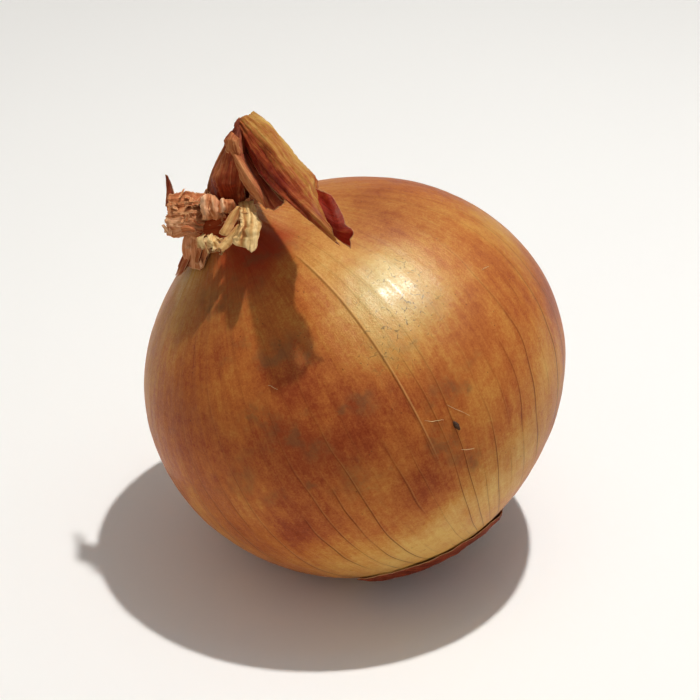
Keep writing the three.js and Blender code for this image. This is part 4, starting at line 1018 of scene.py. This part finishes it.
# the dark red scale seen between the torn skins
CAVITY = dict(rows=[
    [[-4.1, -4, 45.2], [-4.7, -5, 43.9], [-5.3, -5.8, 42.7], [-5.7, -6.2, 41.5]],
    [[-2.4, -3.6, 44.6], [-3.2, -4.6, 43.1], [-3.7, -5.8, 41.9], [-4.2, -6.6, 40.8]],
    [[-0.5, -3.6, 44], [-1.3, -4.8, 42.5], [-1.9, -6.2, 41.2], [-2.4, -7.4, 40.1]],
    [[1.7, -3.6, 43.5], [1, -5.2, 42.1], [0.4, -7, 40.8], [-0.1, -8.6, 39.6]],
    [[3.4, -3.6, 42.6], [3.3, -6, 41.8], [2.9, -7.8, 40.6], [2.4, -8.8, 39.7]],
], tones=[
    [0.5, 0.6, 0.5, 0.5], [0.6, 0.8, 0.85, 0.7], [0.6, 0.85, 0.9, 0.7], [0.6, 0.8, 0.8, 0.7],
    [0.6, 0.7, 0.7, 0.7],
], across=4, tear=0, jag=0.3, pleat=0.3, under=1, thick=0.16, seed=25)
SHOULDER_PEEL = dict(turns=[-122, -184], start=8.5, edge=[12, 13.5, 17, 12.5, 12, 19, 20.5, 20, 17, 13],
    lift=[0.45, 1.1], across=18, tear=2, columns=120, steps=30, tone=0.45, seed=31)
ROOT_SKIRT = dict(turns=[-137, 118], start=168,
    edge=[156, 131, 132, 137, 142, 148, 158, 160, 160, 156, 152, 154, 158, 155, 153, 156, 162],
    lift=[-0.2, 0.55], puff=(0.8, 0.13), across=48, tear=2.5, jag=0.9, columns=640, steps=60, tone=0.16,
    under=1, seed=41)


# ---- The neck ----

RIM_HEIGHT, COLLAR_FOOT = 42.6, 38.6  # mm above the middle of the bulb
COLLAR_TEETH = 28
COLLAR_THICKNESS = 0.26
MOUTH_RADIUS, MOUTH_HEIGHT = 5.2, 41.6
COLLAR_OWN, MOUTH_OWN = 600, 300  # their own numbers in the noise of the fibres


def neck_collar():
    """The torn sleeve of skin round the neck, with folds that run up it and a ragged rim."""
    share = np.linspace(0, 1, 260)[:, None]
    turn = share * math.tau
    reach = np.linspace(0, 1, 26)[None, :]
    coarse = np.arange(COLLAR_TEETH + 1)
    teeth = np.interp(share * COLLAR_TEETH, coarse, draw(coarse % COLLAR_TEETH + 50))
    rim = RIM_HEIGHT + 1.2 * np.sin(turn - 0.2) + 0.8 * teeth + 0.5 * fractal(off_axis(9, turn, 0), 4, 61, 0.7)
    height = COLLAR_FOOT + (rim - COLLAR_FOOT) * reach
    spot = off_axis(5.5, turn, height * 0.12)
    radius = NECK_RADIUS + 1.3 * (1 - reach) ** 2 + 0.45 * fractal(spot, 3, 63, 0.6) + 0.3 * reach**4
    inset = (1 - reach) * (RIM_HEIGHT - COLLAR_FOOT)
    half = half_thickness(COLLAR_THICKNESS, inset, rim=0.4)
    front, back = (off_axis(r, turn, height) for r in (radius + half, radius - half))
    tone = 0.42 + 0.16 * reach + 0 * height
    rim = np.exp(-inset / 0.35 + 0 * height)
    return sheet_mesh(front, back, (tone, 0.4 * tone), rim, stack(turn * NECK_RADIUS, height, COLLAR_OWN))


def neck_mouth():
    """The dried inner scales that close the neck: a crumpled dark red plug with spiral folds."""
    columns, rings = 160, 40
    reach, turn = np.meshgrid(np.linspace(0, 1, rings + 1)[1:], around(columns), indexing="ij")
    radius = MOUTH_RADIUS * reach
    x, y = radius * np.cos(turn), radius * np.sin(turn)
    flat = stack(x, y, 0)
    hump = 2.6 * np.exp(-(((x + 2.2) / 2.6) ** 2 + ((y + 3.2) / 2.4) ** 2))
    spiral = np.sin(3.1 * radius + turn * 2 + 2.2 * fractal(flat * 0.5, 2, 71))
    height = MOUTH_HEIGHT + hump + 0.4 * spiral + 0.5 * fractal(flat * 1.1, 4, 73, 0.6)
    height = height - 1.8 * smooth(reach, 0.75, 1)
    points = np.concatenate([stack(x, y, height).reshape(-1, 3), [[0, 0, 41.8], [0, 0, 39.5]]])
    attributes = {
        "tone": np.append(0.35 + 0.25 * spiral, [0.4, 0.4]),
        "rim": np.zeros(len(points)),
        "fibre": np.concatenate([stack(turn * 5, radius, MOUTH_OWN).reshape(-1, 3), [[0, 0, MOUTH_OWN]] * 2]),
    }
    faces = ring_faces(rings, columns)
    make_object("neck_mouth_scales", points, faces, RED_LEAF, "neck_core", attributes)


# ---- Roots, and what lies on the skin ----


TUBE_SIDES = 8


def tube(middle, radii, tone):
    """A closed tube along a line of points, as (points, faces, tone)."""
    along = unit(np.gradient(middle, axis=0))
    side = unit(np.cross(along, np.array([0.31, 0.52, 0.8])))
    other = np.cross(along, side)
    angle = around(TUBE_SIDES)
    ring = side[:, None] * np.cos(angle)[None, :, None] + other[:, None] * np.sin(angle)[None, :, None]
    points = middle[:, None] + ring * np.reshape(radii, (-1, 1, 1))
    points = np.concatenate([points.reshape(-1, 3), middle[:1], middle[-1:]])
    return points, [np.roll(faces[:, ::-1], 1, axis=1) for faces in ring_faces(len(middle), TUBE_SIDES)], tone


def fibrous(name, pieces, node):
    """One object of closed pieces, each of them (points, faces, tone)."""
    starts = np.cumsum([0] + [len(points) for points, _, _ in pieces])
    faces = [face + start for (_, faces, _), start in zip(pieces, starts) for face in faces]
    tones = np.concatenate([np.full(len(points), tone) for points, _, tone in pieces])
    make_object(name, np.concatenate([piece[0] for piece in pieces]), faces, ROOT, node, {"tone": tones})


ROOTS = 18
ROOT_TURN = 2.4  # radians from each root to the next
ROOT_STRANDS = 3  # each root is a few strands that part towards their tips
PLATE_PLACES = [0, 0.2, 0.45, 0.75, 1]  # along the plate's outline, from its upper middle round to its lower one
PLATE_RADII = [4.5, 6.4, 6.2, 3.8, 0.4]
PLATE_HEIGHTS = [1.6, 1.2, 0.1, -0.6, -0.7]  # from the root end of the bulb


def root_crown():
    """A corky plate with short, bent, dry roots in the same places as in the part's source."""
    rings, columns = 26, 96
    share = np.linspace(0, 1, rings)[:, None]
    turn = around(columns)[None, :]
    radius = np.interp(share, PLATE_PLACES, PLATE_RADII) * (1 + 0.06 * np.sin(3 * turn + 1))
    height = np.interp(share, PLATE_PLACES, PLATE_HEIGHTS) - ROOT_HEIGHT
    plate = off_axis(radius, turn, height)
    plate = plate + 0.35 * fractal(plate * 1.1, 4, 81, 0.65)[..., None] * np.array([0.6, 0.6, 1])
    caps = [[0, 0, 1.8 - ROOT_HEIGHT], [0, 0, -0.7 - ROOT_HEIGHT]]
    pieces = [(np.concatenate([plate.reshape(-1, 3), caps]), ring_faces(rings, columns), 0.35)]
    share = np.linspace(0, 1, 14)[:, None]
    for root in range(ROOTS):
        angle = root * ROOT_TURN
        spread = 0.8 + 4.6 * math.sqrt(draw(root + 200))
        foot = off_axis(spread, angle, 1.2 - ROOT_HEIGHT)
        above = 1000 * to_world(foot)[2]  # mm over the floor
        length = min(2.6 + 3.4 * draw(root + 240), 0.8 * above)
        lean = np.array([1 + math.cos(angle), math.sin(angle) + 0.3, 0])
        bend = 0.35 * length * (0.3 + draw(root + 280))
        for strand in range(ROOT_STRANDS):
            key = 10 * root + strand
            wander = np.stack([line_noise(share[:, 0] * 2.2, 300 + 3 * key + k, 2) for k in range(3)], -1)
            aside = direction(math.pi / 2, strand * 2.1 + root)
            middle = foot + lean * bend * share**2 - np.array([0, 0, length]) * share * (1 - 0.16 * strand)
            middle = middle + 0.5 * share * wander + aside * (0.28 + 0.5 * share) * (strand > 0)
            radii = (0.42 - 0.08 * strand) * (1 - 0.72 * share) * (1 + 0.2 * line_noise(share * 6, key))
            pieces.append(tube(middle, radii, 0.5 + 0.35 * (draw(key + 500) - 0.5)))
    fibrous("root_plate_and_roots", pieces, "root_crown")


# What lies on the skin: from and to, in degrees of polar angle and turn, then the radius in millimetres and the
# tone. A crumb comes first, then lint.
LITTER = [
    ((89.2, -59.4), (92.2, -59.4), 0.44, -0.25),
    ((83.6, -65), (87.2, -61), 0.05, 1.1),
    ((84.3, -58), (91.7, -55), 0.045, 1.0),
    ((97.8, -62), (100.9, -59), 0.05, 1.1),
    ((52, -96), (54.5, -93.5), 0.05, 0.9),
    ((70, -20), (71.5, -17), 0.05, 0.9),
]


def litter():
    """A dark crumb and a few hairs of lint that lie on the skin."""
    pieces = []
    share = np.linspace(0, 1, 12)
    for start, end, radius, tone in LITTER:
        polar = start[0] + (end[0] - start[0]) * share + 0.5 * line_noise(share * 2.5, int(9 * start[0]), 2)
        turn = start[1] + (end[1] - start[1]) * share
        middle = bulb_point(np.radians(polar), np.radians(turn), 0.6 * radius + 0.1)
        lumps = 1 + 0.35 * line_noise(share * 5, int(7 * start[0]), 2)
        pieces.append(tube(middle, radius * lumps * np.sqrt(np.sin(math.pi * (0.04 + 0.92 * share))), tone))
    fibrous("crumb_and_lint", pieces, "bulb")


# ---- Camera, light and floor ----

FRAME_PIXELS = 700
SENSOR = 36  # mm
VIEW_DISTANCE = 450  # mm, from the camera to the middle of the bulb, straight along the view
VIEW_SCALE = 38.8 / 213  # mm per pixel at the middle of the bulb
VIEW_ELEVATION = math.radians(30)
MIDDLE_PIXEL = (356, 378)  # where the middle of the bulb falls in the picture
FLOOR_SIZE = 6  # m, from the middle to each side


def add_to_scene(name, data):
    made = bpy.data.objects.new(name, data)
    bpy.context.scene.collection.objects.link(made)
    return made


def camera():
    data = bpy.data.cameras.new("camera")
    data.sensor_width = SENSOR
    data.lens = SENSOR * VIEW_DISTANCE / VIEW_SCALE / FRAME_PIXELS
    data.clip_start, data.clip_end = 0.01, 20
    eye = add_to_scene("camera", data)
    back = Vector((0, -math.cos(VIEW_ELEVATION), math.sin(VIEW_ELEVATION)))
    up = Vector((0, math.sin(VIEW_ELEVATION), math.cos(VIEW_ELEVATION)))
    right = Vector((1, 0, 0))
    aside = (FRAME_PIXELS / 2 - MIDDLE_PIXEL[0]) * VIEW_SCALE
    above = (MIDDLE_PIXEL[1] - FRAME_PIXELS / 2) * VIEW_SCALE
    eye.location = (Vector(REST) + right * aside + up * above + back * VIEW_DISTANCE) / 1000
    eye.rotation_euler = (math.pi / 2 - VIEW_ELEVATION, 0, 0)
    bpy.context.scene.camera = eye


def lamp(name, towards, distance, size, power, tint, glossy=True, diffuse=True):
    """A round soft light, distance metres from the middle of the bulb."""
    data = bpy.data.lights.new(name, "AREA")
    data.shape = "DISK"
    data.size = size
    data.energy = power
    data.color = tint
    light = add_to_scene(name, data)
    light.visible_glossy, light.visible_diffuse = glossy, diffuse
    aim = Vector(towards).normalized()
    light.location = Vector(REST) / 1000 + aim * distance
    light.rotation_euler = aim.to_track_quat("Z", "Y").to_euler()


def floor():
    mesh = bpy.data.meshes.new("floor")
    corners = [(FLOOR_SIZE * x, FLOOR_SIZE * y, 0) for x, y in ((-1, -1), (1, -1), (1, 1), (-1, 1))]
    mesh.from_pydata(corners, [], [(0, 1, 2, 3)])
    m = Material("plain_floor")
    mottle = m.noise(m.node("TexCoord", {}).outputs["Object"], 9, detail=2)
    tint = m.mix(mottle, colour(250, 250, 250), colour(247, 247, 247))
    mesh.materials.append(m.surface(base_color=tint, roughness=0.9, specular_ior_level=0.1))
    add_to_scene("floor", mesh)


def studio():
    world = bpy.data.worlds.new("studio")
    world.use_nodes = True
    background = world.node_tree.nodes["Background"]
    background.inputs["Color"].default_value = (1.0, 0.965, 0.91, 1)
    background.inputs["Strength"].default_value = 0.3
    bpy.context.scene.world = world
    above, left = 0.6, 0.9  # m
    lamp("key", (0.2, 0.06, 0.975), above, size=0.02, power=2.9, tint=(1, 0.98, 0.94), glossy=False)
    lamp("shine", (0.22, -0.06, 0.975), above, size=0.06, power=15, tint=(0.85, 0.95, 1), diffuse=False)
    lamp("glow", (0.27, 0.0, 0.97), above, size=0.36, power=18, tint=(0.8, 0.96, 1), diffuse=False)
    lamp("fill", (-0.5, -0.9, 0.6), left, size=0.9, power=0.55, tint=(1, 0.84, 0.66), glossy=False)
    bpy.context.scene.view_settings.view_transform = "Standard"


# ---- The scene ----


def blades(*leaves):
    return [blade(**leaf) for leaf in leaves]


camera()
bulb()
neck_mouth()
join("neck_inner_scale", blades(CAVITY), RED_LEAF, "neck_core")
rising = blades(RISING_LEAF, LEAF_BACK, SPLIT_STRIP, GROOVE, CURLED_FLAKE)
join("dry_rising_leaf", rising, RISING_SKIN, "folded_leaf")
join("dry_folded_leaf", blades(FOLDED_LEAF), DRY_LEAF, "folded_leaf")
join("dark_red_inner_leaf", blades(INNER_LEAF), RED_LEAF, "inner_leaf")
torn = [neck_collar(), peel(**SHOULDER_PEEL)] + blades(BAG, SPIKE, MIDDLE_FOLD, RIGHT_FOLD, LIP, SHOULDER_FLAP)
torn += blades(SHOULDER_TONGUE, HIGH_CURL, MIDDLE_CURL, LOW_CURL)
torn += shreds(BAG, 7, 0.045, 1.1, 1000, start=0.2, reach=(0.4, 1.0), out=0.3, thick=0.08, pleat=0.08)
torn += shreds(MIDDLE_FOLD, 4, 0.14, 0.6, 5000, start=0.4, reach=(0.8, 1.05), out=0.25, thick=0.1, pleat=0.1)
torn += scraps(BAG, 30, 1.1, 11000, out=(0.3, 0.7))
torn += scraps(MIDDLE_FOLD, 4, 0.6, 13000) + scraps(SHOULDER_FLAP, 4, 0.9, 14000)
join("torn_brown_skins", torn, TORN_SKIN, "torn_neck_skin")
pale = blades(PALE_FLAP, PALE_CURL, LOW_PALE_CURL) + scraps(PALE_FLAP, 6, 0.9, 15000)
join("pale_curled_flap", pale, PALE_SKIN, "pale_flap")
tuft = blades(PALE_TUFT) + shreds(PALE_TUFT, 7, 0.2, 1.0, 8000, reach=(0.6, 1.15), out=0.5)
join("pale_fibrous_tuft", tuft, PALE_SKIN, "pale_tuft")
join("root_skin_skirt", [peel(**ROOT_SKIRT)], TORN_SKIN, "root_skirt")
root_crown()
litter()
floor()
studio()
